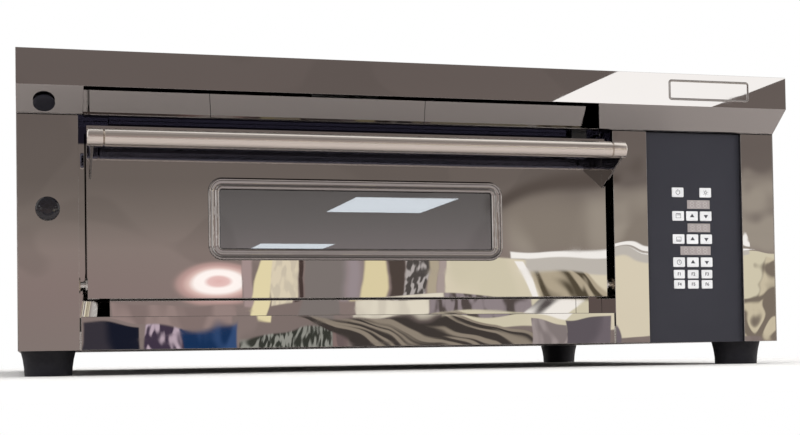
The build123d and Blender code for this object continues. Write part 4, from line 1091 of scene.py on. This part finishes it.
@dataclass
class Door:
    """The drop-down door with its window and its bar handle."""

    fold: float = 0.0021
    skin_wave: float = 0.0026
    tube_rounding: float = 0.0028
    cap_length: float = 0.026
    cap_gap: float = 0.0016
    cap_groove: float = 0.0026
    tube_faces: int = 64
    inner_fold: float = 0.0006
    bracket_fold: float = 0.0007
    bezel_corner: float = 0.024
    # Ring steps that take the bezel's painted shade.
    groove_steps: tuple[int, ...] = (5, 16)
    ridges: tuple[Span, ...] = (
        (0.5, 2.0), (1.2, 3.4), (2.2, 4.1), (3.4, 4.2), (4.6, 3.8), (5.7, 2.9), (6.9, 1.9), (9.2, 1.5),
        (11.2, 1.5), (12.2, 2.0), (13.2, 2.9), (14.4, 3.4), (15.8, 3.5), (17.1, 3.2), (18.2, 2.4),
        (19.2, 1.2), (19.8, 0.2),
    )

    def handle(self) -> None:
        """Turns the tube with its two caps."""
        low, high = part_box("handle_bar")
        radius, length = (high.z - low.z) / 2, high.x - low.x
        round_off = self.tube_rounding
        turns = (pi / 8, pi / 4, 3 * pi / 8, pi / 2)
        end = [(0.0, 0.0), (radius - round_off, 0.0)]
        end += [(radius - round_off * (1 - sin(t)), round_off * (1 - cos(t))) for t in turns]
        outline = list(end)
        for seam in (self.cap_length, length - self.cap_length):
            before, after = seam - self.cap_gap, seam + self.cap_gap
            outline += [(radius, before), (radius - self.cap_groove, seam), (radius, after)]
        outline += [(r, length - h) for r, h in reversed(end)]
        foot = Matrix.Translation((low.x, (low.y + high.y) / 2, (low.z + high.z) / 2))
        shape = Shape.lathe(outline, foot @ Matrix.Rotation(pi / 2, 4, "Y"), self.tube_faces)
        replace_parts(Workshop.piece(shape, "handle_tube", "door", HANDLE_TUBE), "handle_bar")

    def bezel(self) -> None:
        """Rolls the window's chrome frame, a ring with two ridges and a groove between them, with painted
        shade on the groove steps.
        """
        low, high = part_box("window_bezel")
        shape = Shape.rolled(low, high, self.bezel_corner, self.ridges, True, self.groove_steps)
        ring = Workshop.piece(shape, "bezel_ring", "door", BEZEL_CHROME, 50.0)
        # The second material is painted shade for the groove steps.
        ring.data.materials.append(Workshop.material(BEZEL_GROOVE_PAINTED_SHADE))
        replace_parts(ring, "window_bezel")

    def build(self) -> None:
        """Forms the skins, the handle and the bezel, and dresses the rest."""
        skin = mirror(
            "door_sheet", 31.0, wave_depth=self.skin_wave, wave_size=0.3, tension=0.18, calm_until=0.02,
            calm_share=0.2,
        )
        Workshop.formed("door_outer_skin", skin, self.fold)
        Workshop.formed("door_inner_skin", MILL_SHEET, self.inner_fold)
        Workshop.formed(
            "handle_brackets", mirror("bracket_sheet", 23.0, wave_depth=0.0001), self.bracket_fold
        )
        Workshop.dress(WOOL, "door_insulation")
        Workshop.dress(GLASS, "window_panes")
        self.handle()
        self.bezel()


@dataclass
class Chamber:
    """What is inside the baking chamber."""

    stone_edge: float = 0.0015
    liner_fold: float = 0.0005

    def build(self) -> None:
        """Forms the liner and the stone, and dresses the rest."""
        Workshop.formed("chamber_liner", MILL_SHEET, self.liner_fold)
        Workshop.formed("baking_stone", CLAY, self.stone_edge)
        Workshop.dress(ELEMENT, "heating_elements")
        Workshop.dress(MILL_SHEET, "element_supports")
        Workshop.dress(ZINC, "temperature_probes", "chamber_lamp")
        Workshop.dress(LAMP_GLASS, "lamp_lens")


@dataclass
class Controls:
    """The key panel on the right with its displays."""

    key_round: float = 0.0007
    print_thickness: float = 0.00012
    symbol_size: float = 0.0048
    line: float = 0.0009
    digit_height: float = 0.0098
    digit_width: float = 0.0062
    digit_pitch: float = 0.0128
    segment: float = 0.0011
    panel_round: float = 0.0003
    letter_share: float = 1.65
    letter_weight: float = 0.16
    row_edge: float = 0.0001
    letter_weld: float = 0.000001

    def build(self) -> None:
        """Forms the panel and its keys, prints the symbols and lays out the digits."""
        Workshop.formed("control_fascia", PANEL_PAINT, self.panel_round, 2)
        Workshop.dress(BOARD, "control_electrics")
        Workshop.dress(DISPLAY_FACE, "display_modules")
        roles = {"power": Symbol.POWER, "light": Symbol.LIGHT, "timer_mode": Symbol.TIMER}
        roles |= {"upper_heat_mode": Symbol.UPPER_HEAT, "lower_heat_mode": Symbol.LOWER_HEAT}
        for group in ("upper_heat", "lower_heat", "timer"):
            roles |= {f"{group}_up": Symbol.UP, f"{group}_down": Symbol.DOWN}
        for key, symbol in roles.items():
            self.key(f"{key}_key", symbol, "")
        for number in range(1, 7):
            self.key(f"program_{number}_key", Symbol.NUMBER, f"F{number}")
        self.digits()

    def key(self, node: str, symbol: Symbol, label: str) -> None:
        """Forms one key and prints its symbol.

        Args:
            node: The key's node.
            symbol: What it shows.
            label: The text of a numbered key.
        """
        Workshop.formed(node, KEY_WHITE, self.key_round)
        low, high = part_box(node)
        centre = Vector(((low.x + high.x) / 2, low.y, (low.z + high.z) / 2))
        shape = bmesh.new()
        if symbol is Symbol.NUMBER:
            self.lettering(shape, label)
        else:
            self.draw(shape, symbol)
        Shape.print_on(shape, centre, self.print_thickness)
        body = frame["nodes"][node]["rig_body"]
        Workshop.piece(shape, f"{node}_print", body, KEY_PRINT)

    def lettering(self, shape: Mesh, label: str) -> None:
        """Adds a short text, centred, in X and Y.

        Args:
            shape: The bmesh that gets it.
            label: The text.
        """
        curve = bpy.data.curves.new(f"text_{label}", "FONT")
        curve.body = label
        curve.size = self.symbol_size * self.letter_share
        curve.align_x = "CENTER"
        curve.align_y = "CENTER"
        curve.offset = self.line * self.letter_weight
        holder = bpy.data.objects.new(f"text_{label}", curve)
        mesh = bpy.data.meshes.new_from_object(holder)
        shape.from_mesh(mesh)
        bmesh.ops.remove_doubles(shape, verts=shape.verts, dist=self.letter_weld)
        bpy.data.meshes.remove(mesh)
        bpy.data.objects.remove(holder)
        bpy.data.curves.remove(curve)

    def bar(self, shape: Mesh, start: Span, end: Span, width: float) -> None:
        """Adds a flat stroke from one point to another.

        Args:
            shape: The bmesh that gets it.
            start: Its first end.
            end: Its second end.
            width: Its width.
        """
        reach = Vector((end[0] - start[0], end[1] - start[1], 0.0))
        middle = Vector(((start[0] + end[0]) / 2, (start[1] + end[1]) / 2, 0.0))
        turn = Vector((1, 0, 0)).rotation_difference(reach).to_matrix().to_4x4()
        matrix = Matrix.Translation(middle) @ turn @ Matrix.Diagonal((reach.length / 2, width / 2, 1, 1))
        bmesh.ops.create_grid(shape, x_segments=1, y_segments=1, size=1.0, matrix=matrix)

    def arc(self, shape: Mesh, radius: float, start: float, end: float, steps: int = 20) -> None:
        """Adds a flat ring or part of one round the middle.

        Args:
            shape: The bmesh that gets it.
            radius: Its middle radius.
            start: The angle where it starts, in degrees from +X.
            end: The angle where it ends.
            steps: How many faces it has.
        """
        inner, outer = radius - self.line / 2, radius + self.line / 2
        whole = end - start >= 360
        angles = [start + (end - start) * step / steps for step in range(steps + (not whole))]
        turns = [radians(angle) for angle in angles]
        places = [[(reach * cos(turn), reach * sin(turn), 0) for turn in turns] for reach in (inner, outer)]
        rows = [[shape.verts.new(place) for place in row] for row in places]
        Shape.bands(shape, rows, whole)

    def draw(self, shape: Mesh, symbol: Symbol) -> None:
        """Adds one symbol, centred, in X and Y.

        Args:
            shape: The bmesh that gets it.
            symbol: Which one.
        """
        size, line = self.symbol_size, self.line
        if symbol in (Symbol.UP, Symbol.DOWN):
            reach, flatten = size * 1.05, (1.0, 0.85, 1.0, 1.0)
            turn = Matrix.Rotation(0.0 if symbol is Symbol.UP else pi, 4, "Z")
            matrix = turn @ Matrix.Diagonal(flatten)
            bmesh.ops.create_circle(shape, cap_ends=True, segments=3, radius=reach, matrix=matrix)
        elif symbol is Symbol.POWER:
            radius, stem_foot, stem_head = size * 0.8, size * 0.25, size * 1.15
            self.arc(shape, radius, 120, 420)
            self.bar(shape, (0, stem_foot), (0, stem_head), line)
        elif symbol is Symbol.LIGHT:
            radius, inner, outer, thin = size * 0.42, size * 0.68, size * 1.05, line * 0.8
            self.arc(shape, radius, 0, 360)
            for turn in [step * pi / 4 for step in range(8)]:
                across, up = cos(turn), sin(turn)
                self.bar(shape, (inner * across, inner * up), (outer * across, outer * up), thin)
        elif symbol is Symbol.TIMER:
            radius, long, short, thin = size * 0.85, size * 0.6, size * 0.5, line * 0.8
            self.arc(shape, radius, 0, 360)
            self.bar(shape, (0, -line / 2), (0, long), thin)
            self.bar(shape, (line / 2, 0), (short, 0), thin)
        else:
            half, rise, thin, thick = size * 0.95, size * 0.75, line * 0.7, line * 1.7
            level = rise if symbol is Symbol.UPPER_HEAT else -rise
            near, far = level * 0.1, level * 0.6
            for side in (-half, half):
                self.bar(shape, (side, -rise), (side, rise), thin)
            self.bar(shape, (-half, -level), (half, -level), thin)
            self.bar(shape, (-half, level), (half, level), thick)
            for side in (-half / 2, 0, half / 2):
                self.bar(shape, (side, near), (side, far), thin)

    def digits(self) -> None:
        """Lays unlit digits on the three displays."""
        low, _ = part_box("display_modules")
        mesh = frame["nodes"]["display_modules"].data
        heights = sorted({round(v.co.z, 5) for v in mesh.vertices})
        rows = list(zip(heights[0::2], heights[1::2]))
        shape = bmesh.new()
        for base, top in rows:
            foot, head = base - self.row_edge, top + self.row_edge
            across = [v.co.x for v in mesh.vertices if foot < v.co.z < head]
            left, right = min(across), max(across)
            count = int((right - left) / self.digit_pitch)
            first = (left + right) / 2 - self.digit_pitch * (count - 1) / 2
            for index in range(count):
                self.digit(shape, first + index * self.digit_pitch, low.y, (base + top) / 2)
        Workshop.piece(shape, "display_digits", "cabinet", DISPLAY_SEGMENT)

    def digit(self, shape: Mesh, x: float, y: float, z: float) -> None:
        """Adds one seven-segment digit and its point.

        Args:
            shape: The bmesh that gets it.
            x: Its middle.
            y: The face that it lies on.
            z: Its middle height.
        """
        wide, high, edge = self.digit_width / 2, self.digit_height / 2, self.segment / 2
        gap, back, front = self.segment, y - self.print_thickness, y + self.print_thickness
        marks = [((-wide + gap, level - edge), (wide - gap, level + edge)) for level in (-high, 0, high)]
        for side in (-wide, wide):
            for foot, head in ((-high, 0), (0, high)):
                marks.append(((side - edge, foot + gap), (side + edge, head - gap)))
        marks.append(((wide + gap, -high - edge), (wide + 2 * gap, -high + edge)))
        for (left, low), (right, top) in marks:
            Shape.block(shape, (x + left, back, z + low), (x + right, front, z + top))


class Knobs:
    """The damper's pull knob with its slide, and the button on the slope."""

    def build(self) -> None:
        """Dresses both knobs and the slide."""
        Workshop.dress(BLACK_GLOSS, "damper_knob")
        Workshop.dress(ZINC, "damper_slide")
        Workshop.dress(BLACK_PLASTIC, "hood_button")


@dataclass(frozen=True)
class Thing:
    """Something in the room, by the directions that it fills, in degrees from straight ahead of the door."""

    name: str
    across: Span
    rise: Span
    colour: Colour
    second: Colour | None = None
    edge: float = 0.06
    lean: float = 0.0
    fold: float = 0.25
    tilt: float = 0.0


@dataclass
class Room:
    """What the polished sheet mirrors: a dim hall with ceiling panels, a pale wall, curtains and shelves."""

    panel_row: Span = (2.062, 2.752)
    row_pitch: float = 4.1
    panel_steps: tuple[Span, ...] = ((4.3, 5.3), (8.75, 9.69), (12.55, 13.32))
    panel_light: float = 2.45
    panel_tone: Colour = (1.0, 0.995, 0.99)
    horizon: float = 0.0001
    sway_scale: float = 1.1
    sway_reach: float = 0.16
    cloud_scale: float = 0.16
    cloud_edges: Span = (0.50, 0.53)
    cloud_share: float = 0.16
    cloud_colour: Colour = (0.2, 0.17, 0.155)
    side_edges: Span = (38.0, 62.0)
    side_colour: Colour = (1.15, 1.11, 1.07)
    behind_edges: Span = (-0.02, 0.12)
    fold_squash: float = 0.35
    fold_edges: Span = (0.44, 0.58)
    soft_edge: float = 0.2
    crisp_edge: float = 0.1
    door_middle: Span = (7.6, 2.95)
    door_reach: Span = (1.6, 0.72)
    door_fade: Span = (1.05, 1.3)
    door_side: Span = (8.55, 8.62)
    ring_reach: float = 1.2
    rings: tuple[tuple[float, Colour], ...] = (
        (0.0, (2.0, 1.3, 1.25)),
        (0.22, (2.15, 1.5, 1.45)),
        (0.33, (2.75, 2.6, 2.55)),
        (0.52, (2.7, 2.55, 2.5)),
        (0.66, (1.9, 1.4, 1.3)),
        (0.80, (1.35, 0.9, 0.85)),
        (1.0, (0.85, 0.62, 0.58)),
    )
    tones: tuple[tuple[float, Colour], ...] = (
        (0.0, (0.60, 0.50, 0.47)),
        (2.6, (0.64, 0.50, 0.475)),
        (4.2, (0.65, 0.53, 0.49)),
        (5.4, (0.50, 0.425, 0.385)),
        (7.0, (0.37, 0.315, 0.285)),
        (11.0, (0.335, 0.28, 0.262)),
        (20.0, (0.36, 0.315, 0.30)),
        (45.0, (0.30, 0.275, 0.265)),
        (90.0, (0.52, 0.50, 0.49)),
    )
    things: tuple[Thing, ...] = (
        Thing(
            "far wall above the rail", (19.6, 44.0), (4.0, 6.0), (0.84, 0.75, 0.64),
            second=(0.62, 0.54, 0.46), edge=0.8, fold=3.1,
        ),
        Thing("dark beam", (18.6, 24.2), (6.2, 6.9), (0.25, 0.205, 0.18), edge=0.3, tilt=0.2),
        Thing("wall post", (8.6, 9.02), (2.1, 3.9), (0.98, 0.76, 0.75)),
        Thing("yellow curtain", (9.04, 9.76), (1.4, 3.85), (2.05, 1.85, 1.15), edge=0.05, lean=0.25),
        Thing(
            "pale blind", (9.76, 10.8), (2.1, 3.85), (1.9, 1.72, 1.32), second=(1.6, 1.45, 1.15), edge=0.04,
            lean=0.05,
        ),
        Thing("door leaf edge", (10.84, 11.0), (2.1, 3.85), (0.16, 0.11, 0.10), edge=0.03),
        Thing("grey pillar", (11.06, 12.5), (1.3, 3.85), (0.54, 0.48, 0.46), edge=0.05),
        Thing("lilac pillar side", (12.5, 13.0), (2.1, 3.85), (0.84, 0.72, 0.77), edge=0.2),
        Thing("second curtain", (13.06, 13.86), (2.1, 3.85), (1.9, 1.7, 1.06), lean=0.1),
        Thing("dark cabinet", (13.95, 14.5), (2.1, 3.85), (0.2, 0.155, 0.135), lean=0.08),
        Thing(
            "wire rack", (14.5, 15.42), (2.1, 3.85), (0.2, 0.18, 0.17), second=(1.15, 1.08, 1.06), edge=0.05,
            lean=0.1, fold=0.2,
        ),
        Thing("beige panel", (15.42, 15.8), (2.1, 3.85), (1.12, 0.98, 0.74)),
        Thing("mauve panel", (15.8, 16.15), (2.1, 3.85), (1.02, 0.86, 0.82)),
        Thing(
            "cream wall", (16.15, 44.0), (0.7, 3.8), (1.64, 1.54, 1.17), second=(1.8, 1.66, 1.3), edge=0.05,
            fold=2.9,
        ),
        Thing("bright opening", (20.3, 28.0), (3.2, 4.05), (1.34, 1.28, 1.18), edge=0.12),
        Thing(
            "curtain folds", (20.9, 23.35), (2.1, 3.25), (1.15, 1.0, 0.74), second=(0.22, 0.18, 0.12),
            edge=0.1, lean=-0.9, fold=0.55,
        ),
        Thing("white rail", (19.7, 28.2), (4.06, 4.36), (2.35, 2.33, 2.28), edge=0.05, tilt=0.06),
        Thing("white post", (20.3, 20.66), (2.1, 3.7), (2.35, 2.32, 2.26), edge=0.04, lean=-0.58),
        Thing(
            "low wall", (3.3, 8.2), (1.44, 2.1), (0.80, 0.61, 0.58), second=(0.6, 0.46, 0.44), edge=0.04,
            fold=1.3,
        ),
        Thing(
            "white table edge", (13.2, 16.1), (1.44, 2.1), (1.95, 1.85, 1.55), second=(1.7, 1.6, 1.35),
            edge=0.04, fold=0.8,
        ),
        Thing(
            "bench clutter", (16.1, 20.35), (1.44, 2.1), (0.22, 0.18, 0.17), second=(0.72, 0.62, 0.66),
            edge=0.05, fold=0.42,
        ),
        Thing(
            "white bench", (20.4, 22.2), (1.44, 2.1), (2.3, 2.25, 2.15), second=(0.25, 0.22, 0.22), edge=0.05,
            lean=1.2, fold=1.0,
        ),
        Thing(
            "dark stall", (2.15, 4.3), (-0.5, 1.25), (0.025, 0.03, 0.06), second=(0.10, 0.09, 0.12),
            edge=0.05, fold=1.6,
        ),
        Thing(
            "lilac boxes", (4.6, 6.3), (-0.5, 1.42), (0.14, 0.1, 0.17), second=(1.3, 1.05, 1.25), edge=0.08,
            lean=0.2, fold=0.36,
        ),
        Thing(
            "blue crates", (6.3, 8.4), (-0.5, 1.42), (0.025, 0.085, 0.26), second=(0.09, 0.2, 0.5), edge=0.05,
            fold=0.7,
        ),
        Thing(
            "steel pots", (8.5, 12.4), (-0.5, 1.0), (0.1, 0.11, 0.09), second=(0.75, 0.77, 0.7), edge=0.05,
            fold=0.16,
        ),
        Thing("red box", (12.4, 13.0), (-0.5, 1.1), (0.62, 0.44, 0.42), second=(0.4, 0.3, 0.3), fold=0.4),
        Thing(
            "sacks", (13.1, 19.9), (-0.5, 1.42), (0.13, 0.11, 0.1), second=(0.72, 0.62, 0.5), edge=0.1,
            lean=-2.6, fold=0.62,
        ),
        Thing(
            "mauve box", (20.1, 21.8), (-0.5, 1.15), (0.88, 0.77, 0.77), second=(0.6, 0.52, 0.52), edge=0.04,
            fold=0.6,
        ),
        Thing(
            "grey machine", (21.8, 23.5), (-0.5, 1.42), (0.42, 0.36, 0.41), second=(0.3, 0.26, 0.3),
            edge=0.04, fold=1.2,
        ),
        Thing(
            "dark things far right", (28.0, 40.0), (0.4, 3.2), (0.5, 0.42, 0.34), second=(1.5, 1.35, 1.0),
            edge=0.15, lean=0.8, fold=1.0,
        ),
    )

    def colour(self, graph: Graph) -> Socket:
        """The room's colour in each direction.

        Args:
            graph: The world's graph.

        Returns:
            The colour's socket.
        """
        way = graph.coordinate("Generated")
        x, y, z = graph.node("ShaderNodeSeparateXYZ", {"Vector": way}).outputs
        across = graph.product(graph.math("ARCTAN2", x, graph.product(y, -1.0)), 180 / pi)
        rise = graph.product(graph.math("ARCSINE", z), 180 / pi)
        place = graph.node("ShaderNodeCombineXYZ", {"X": across, "Y": rise}).outputs[0]
        sway = graph.less(graph.noise(place, self.sway_scale, 1.0), 0.5)
        bent = graph.math("ADD", across, graph.product(sway, self.sway_reach))
        share = graph.math("DIVIDE", rise, 90.0, clamp=True)
        walls = graph.ramp(share, [(height / 90.0, tone) for height, tone in self.tones])
        cloud = graph.span(graph.noise(place, self.cloud_scale, 1.0, Distortion=0.6), *self.cloud_edges)
        walls = graph.mix(graph.product(cloud, self.cloud_share), walls, self.cloud_colour)
        side = graph.span(graph.math("ABSOLUTE", across), *self.side_edges)
        walls = graph.mix(side, walls, self.side_colour)
        walls = self.doorway(graph, walls, across, rise)
        for thing in self.things:
            walls = self.place_thing(graph, walls, thing, bent, rise)
        walls = self.ceiling_panels(graph, walls, (x, y, z))
        return graph.mix(graph.span(y, *self.behind_edges), walls, (1.0, 1.0, 1.0))

    def place_thing(self, graph: Graph, walls: Socket, thing: Thing, across: Socket, rise: Socket) -> Socket:
        """Lays one thing over what is there.

        Args:
            graph: The world's graph.
            walls: The colour so far.
            thing: What is added.
            across: The direction's angle to the right.
            rise: Its angle upwards.

        Returns:
            The colour with the thing.
        """
        if thing.tilt:
            climb = graph.product(graph.less(across, sum(thing.across) / 2), thing.tilt)
            rise = graph.less(rise, climb)
        if thing.lean:
            slide = graph.product(graph.less(rise, sum(thing.rise) / 2), thing.lean)
            across = graph.less(across, slide)
        colour = thing.colour
        if thing.second:
            squashed = graph.product(rise, self.fold_squash)
            place = graph.node("ShaderNodeCombineXYZ", {"X": across, "Y": squashed}).outputs[0]
            folds = graph.noise(place, 1.0 / thing.fold, 1.0)
            colour = graph.mix(graph.span(folds, *self.fold_edges), thing.colour, thing.second)
        edge = thing.edge if thing.edge > self.soft_edge else min(thing.edge, self.crisp_edge)
        wide = graph.between(across, *thing.across, thing.edge)
        high = graph.between(rise, *thing.rise, edge)
        return graph.mix(graph.product(wide, high), walls, colour)

    def doorway(self, graph: Graph, walls: Socket, across: Socket, rise: Socket) -> Socket:
        """Adds the bright doorway on the left, in soft rings.

        Args:
            graph: The world's graph.
            walls: The colour so far.
            across: The direction's angle to the right.
            rise: Its angle upwards.

        Returns:
            The colour with the doorway.
        """
        ways = zip((across, rise), self.door_middle, self.door_reach)
        shares = [graph.math("DIVIDE", graph.less(way, middle), reach) for way, middle, reach in ways]
        dx, dz = [graph.math("POWER", share, 2.0) for share in shares]
        far = graph.math("SQRT", graph.math("ADD", dx, dz))
        glow = graph.ramp(graph.math("DIVIDE", far, self.ring_reach), self.rings)
        inside = graph.product(
            graph.span(far, *self.door_fade, 1.0, 0.0), graph.span(across, *self.door_side, 1.0, 0.0)
        )
        return graph.mix(inside, walls, glow)

    def ceiling_panels(self, graph: Graph, walls: Socket, way: tuple[Socket, ...]) -> Socket:
        """Adds rows of bright panels on a ceiling one unit above the eye.

        Args:
            graph: The world's graph.
            walls: The colour so far.
            way: The direction's three axes.

        Returns:
            The colour with the panels.
        """
        x, y, z = way
        height = graph.math("MAXIMUM", z, self.horizon)
        start, end = self.panel_row
        rows = graph.math("DIVIDE", graph.less(graph.math("DIVIDE", x, height), start), self.row_pitch)
        depth = graph.math("DIVIDE", graph.product(y, -1.0), height)
        mask = graph.math("LESS_THAN", graph.math("FRACT", rows), (end - start) / self.row_pitch)
        steps = 0.0
        for low, high in self.panel_steps:
            inside = graph.product(
                graph.math("GREATER_THAN", depth, low), graph.math("LESS_THAN", depth, high)
            )
            steps = graph.math("ADD", inside, steps)
        light = tuple(self.panel_light * channel for channel in self.panel_tone)
        return graph.mix(graph.product(mask, steps), walls, light)


@dataclass
class Studio:
    """The pale floor, the soft lamps, the white backdrop and the camera."""

    floor_reach: float = 30.0
    floor_colour: Colour = (0.8, 0.79, 0.775)
    floor_mirrored: Colour = (0.56, 0.51, 0.49)
    floor_roughness: float = 0.8
    sensor: float = 36.0
    shadow_start: float = 1.15
    shadow_end: float = 2.0
    soft_light: float = 0.55
    eye: Place = (-0.6572, -2.7821, 0.0309)
    yaw: float = 0.2613
    pitch: float = 0.0275
    roll: float = -0.015
    lens: float = 63.0
    rise: float = 0.12
    lamp_target: Place = (0.0, 0.0, 0.25)
    lamps: tuple[tuple[str, Place, Span, float], ...] = (
        ("overhead", (0.2, -0.4, 2.6), (2.6, 2.0), 55.0),
        ("front_left", (-2.2, -3.2, 2.0), (1.6, 1.2), 45.0),
        ("front_right", (2.4, -2.8, 1.8), (1.4, 1.2), 30.0),
        ("rear", (0.6, 3.2, 1.9), (2.0, 1.2), 40.0),
    )

    def camera(self) -> None:
        """Stands the camera low, in front of the oven's left corner."""
        data = bpy.data.cameras.new("view")
        data.lens = self.lens
        data.sensor_width = self.sensor
        data.shift_y = self.rise
        holder = bpy.data.objects.new("view", data)
        bpy.context.scene.collection.objects.link(holder)
        bpy.context.scene.camera = holder
        look = Vector((sin(self.yaw) * cos(self.pitch), cos(self.yaw) * cos(self.pitch), sin(self.pitch)))
        side = Vector((cos(self.yaw), -sin(self.yaw), 0.0))
        above = side.cross(look)
        right = cos(self.roll) * side + sin(self.roll) * above
        up = -sin(self.roll) * side + cos(self.roll) * above
        turn = Matrix((right, up, -look)).transposed().to_4x4()
        holder.matrix_world = Matrix.Translation(self.eye) @ turn

    def floor(self) -> None:
        """Lays a pale floor whose far part melts into the backdrop."""
        shape = bmesh.new()
        bmesh.ops.create_grid(shape, x_segments=1, y_segments=1, size=self.floor_reach)
        mesh = bpy.data.meshes.new("floor")
        shape.to_mesh(mesh)
        shape.free()
        ground = bpy.data.objects.new("floor", mesh)
        bpy.context.scene.collection.objects.link(ground)
        material = bpy.data.materials.new("pale_floor")
        material.use_nodes = True
        graph = Graph(material.node_tree)
        shader = material.node_tree.nodes["Principled BSDF"]
        graph.put(shader.inputs["Roughness"], self.floor_roughness)
        reach = graph.node("ShaderNodeVectorMath", operation="LENGTH")
        graph.put(reach.inputs[0], graph.coordinate("Object"))
        far = graph.span(reach.outputs["Value"], self.shadow_start, self.shadow_end)
        path = graph.node("ShaderNodeLightPath")
        tone = graph.mix(path.outputs["Is Glossy Ray"], self.floor_colour, self.floor_mirrored)
        graph.put(shader.inputs["Base Color"], tone)
        white = graph.product(far, path.outputs["Is Camera Ray"])
        glow = graph.node("ShaderNodeEmission", {"Color": (1.0, 1.0, 1.0), "Strength": 1.0})
        both = graph.node("ShaderNodeMixShader", {"Fac": white})
        graph.put(both.inputs[1], shader.outputs[0])
        graph.put(both.inputs[2], glow.outputs[0])
        graph.put(material.node_tree.nodes["Material Output"].inputs["Surface"], both.outputs[0])
        mesh.materials.append(material)

    def backdrop(self) -> None:
        """White for the camera, the room for polished metal and glass, and soft light for the rest."""
        world = bpy.data.worlds.new("studio")
        world.use_nodes = True
        bpy.context.scene.world = world
        graph = Graph(world.node_tree)
        path = graph.node("ShaderNodeLightPath")
        seen = graph.math(
            "ADD", path.outputs["Is Glossy Ray"], path.outputs["Is Transmission Ray"], clamp=True
        )
        level = self.soft_light
        tone = graph.mix(seen, (level, level, level), Room().colour(graph))
        tone = graph.mix(path.outputs["Is Camera Ray"], tone, (1.0, 1.0, 1.0))
        background = world.node_tree.nodes["Background"]
        graph.put(background.inputs["Color"], tone)
        background.inputs["Strength"].default_value = 1.0

    def lamp(self, name: str, place: Place, size: Span, power: float) -> None:
        """Hangs one soft lamp.

        Args:
            name: The lamp's name.
            place: Where it hangs.
            size: Its width and height.
            power: Its power in watts.
        """
        data = bpy.data.lights.new(name, "AREA")
        data.shape = "RECTANGLE"
        data.size, data.size_y = size
        data.energy = power
        holder = bpy.data.objects.new(name, data)
        bpy.context.scene.collection.objects.link(holder)
        holder.location = place
        holder.visible_glossy = False
        holder.rotation_mode = "QUATERNION"
        holder.rotation_quaternion = (Vector(self.lamp_target) - Vector(place)).to_track_quat("-Z", "Y")

    def build(self) -> None:
        """Sets up everything round the oven."""
        bpy.context.scene.view_settings.view_transform = "Standard"
        self.camera()
        self.floor()
        self.backdrop()
        for lamp in self.lamps:
            self.lamp(*lamp)


def main() -> None:
    """Builds the studio and every sub-assembly."""
    logging.basicConfig(level=logging.INFO)
    for part in (Studio(), Casing(), Door(), Chamber(), Controls(), Knobs()):
        part.build()
        LOG.info("%s done", type(part).__name__)


if __name__ == "__main__":
    main()
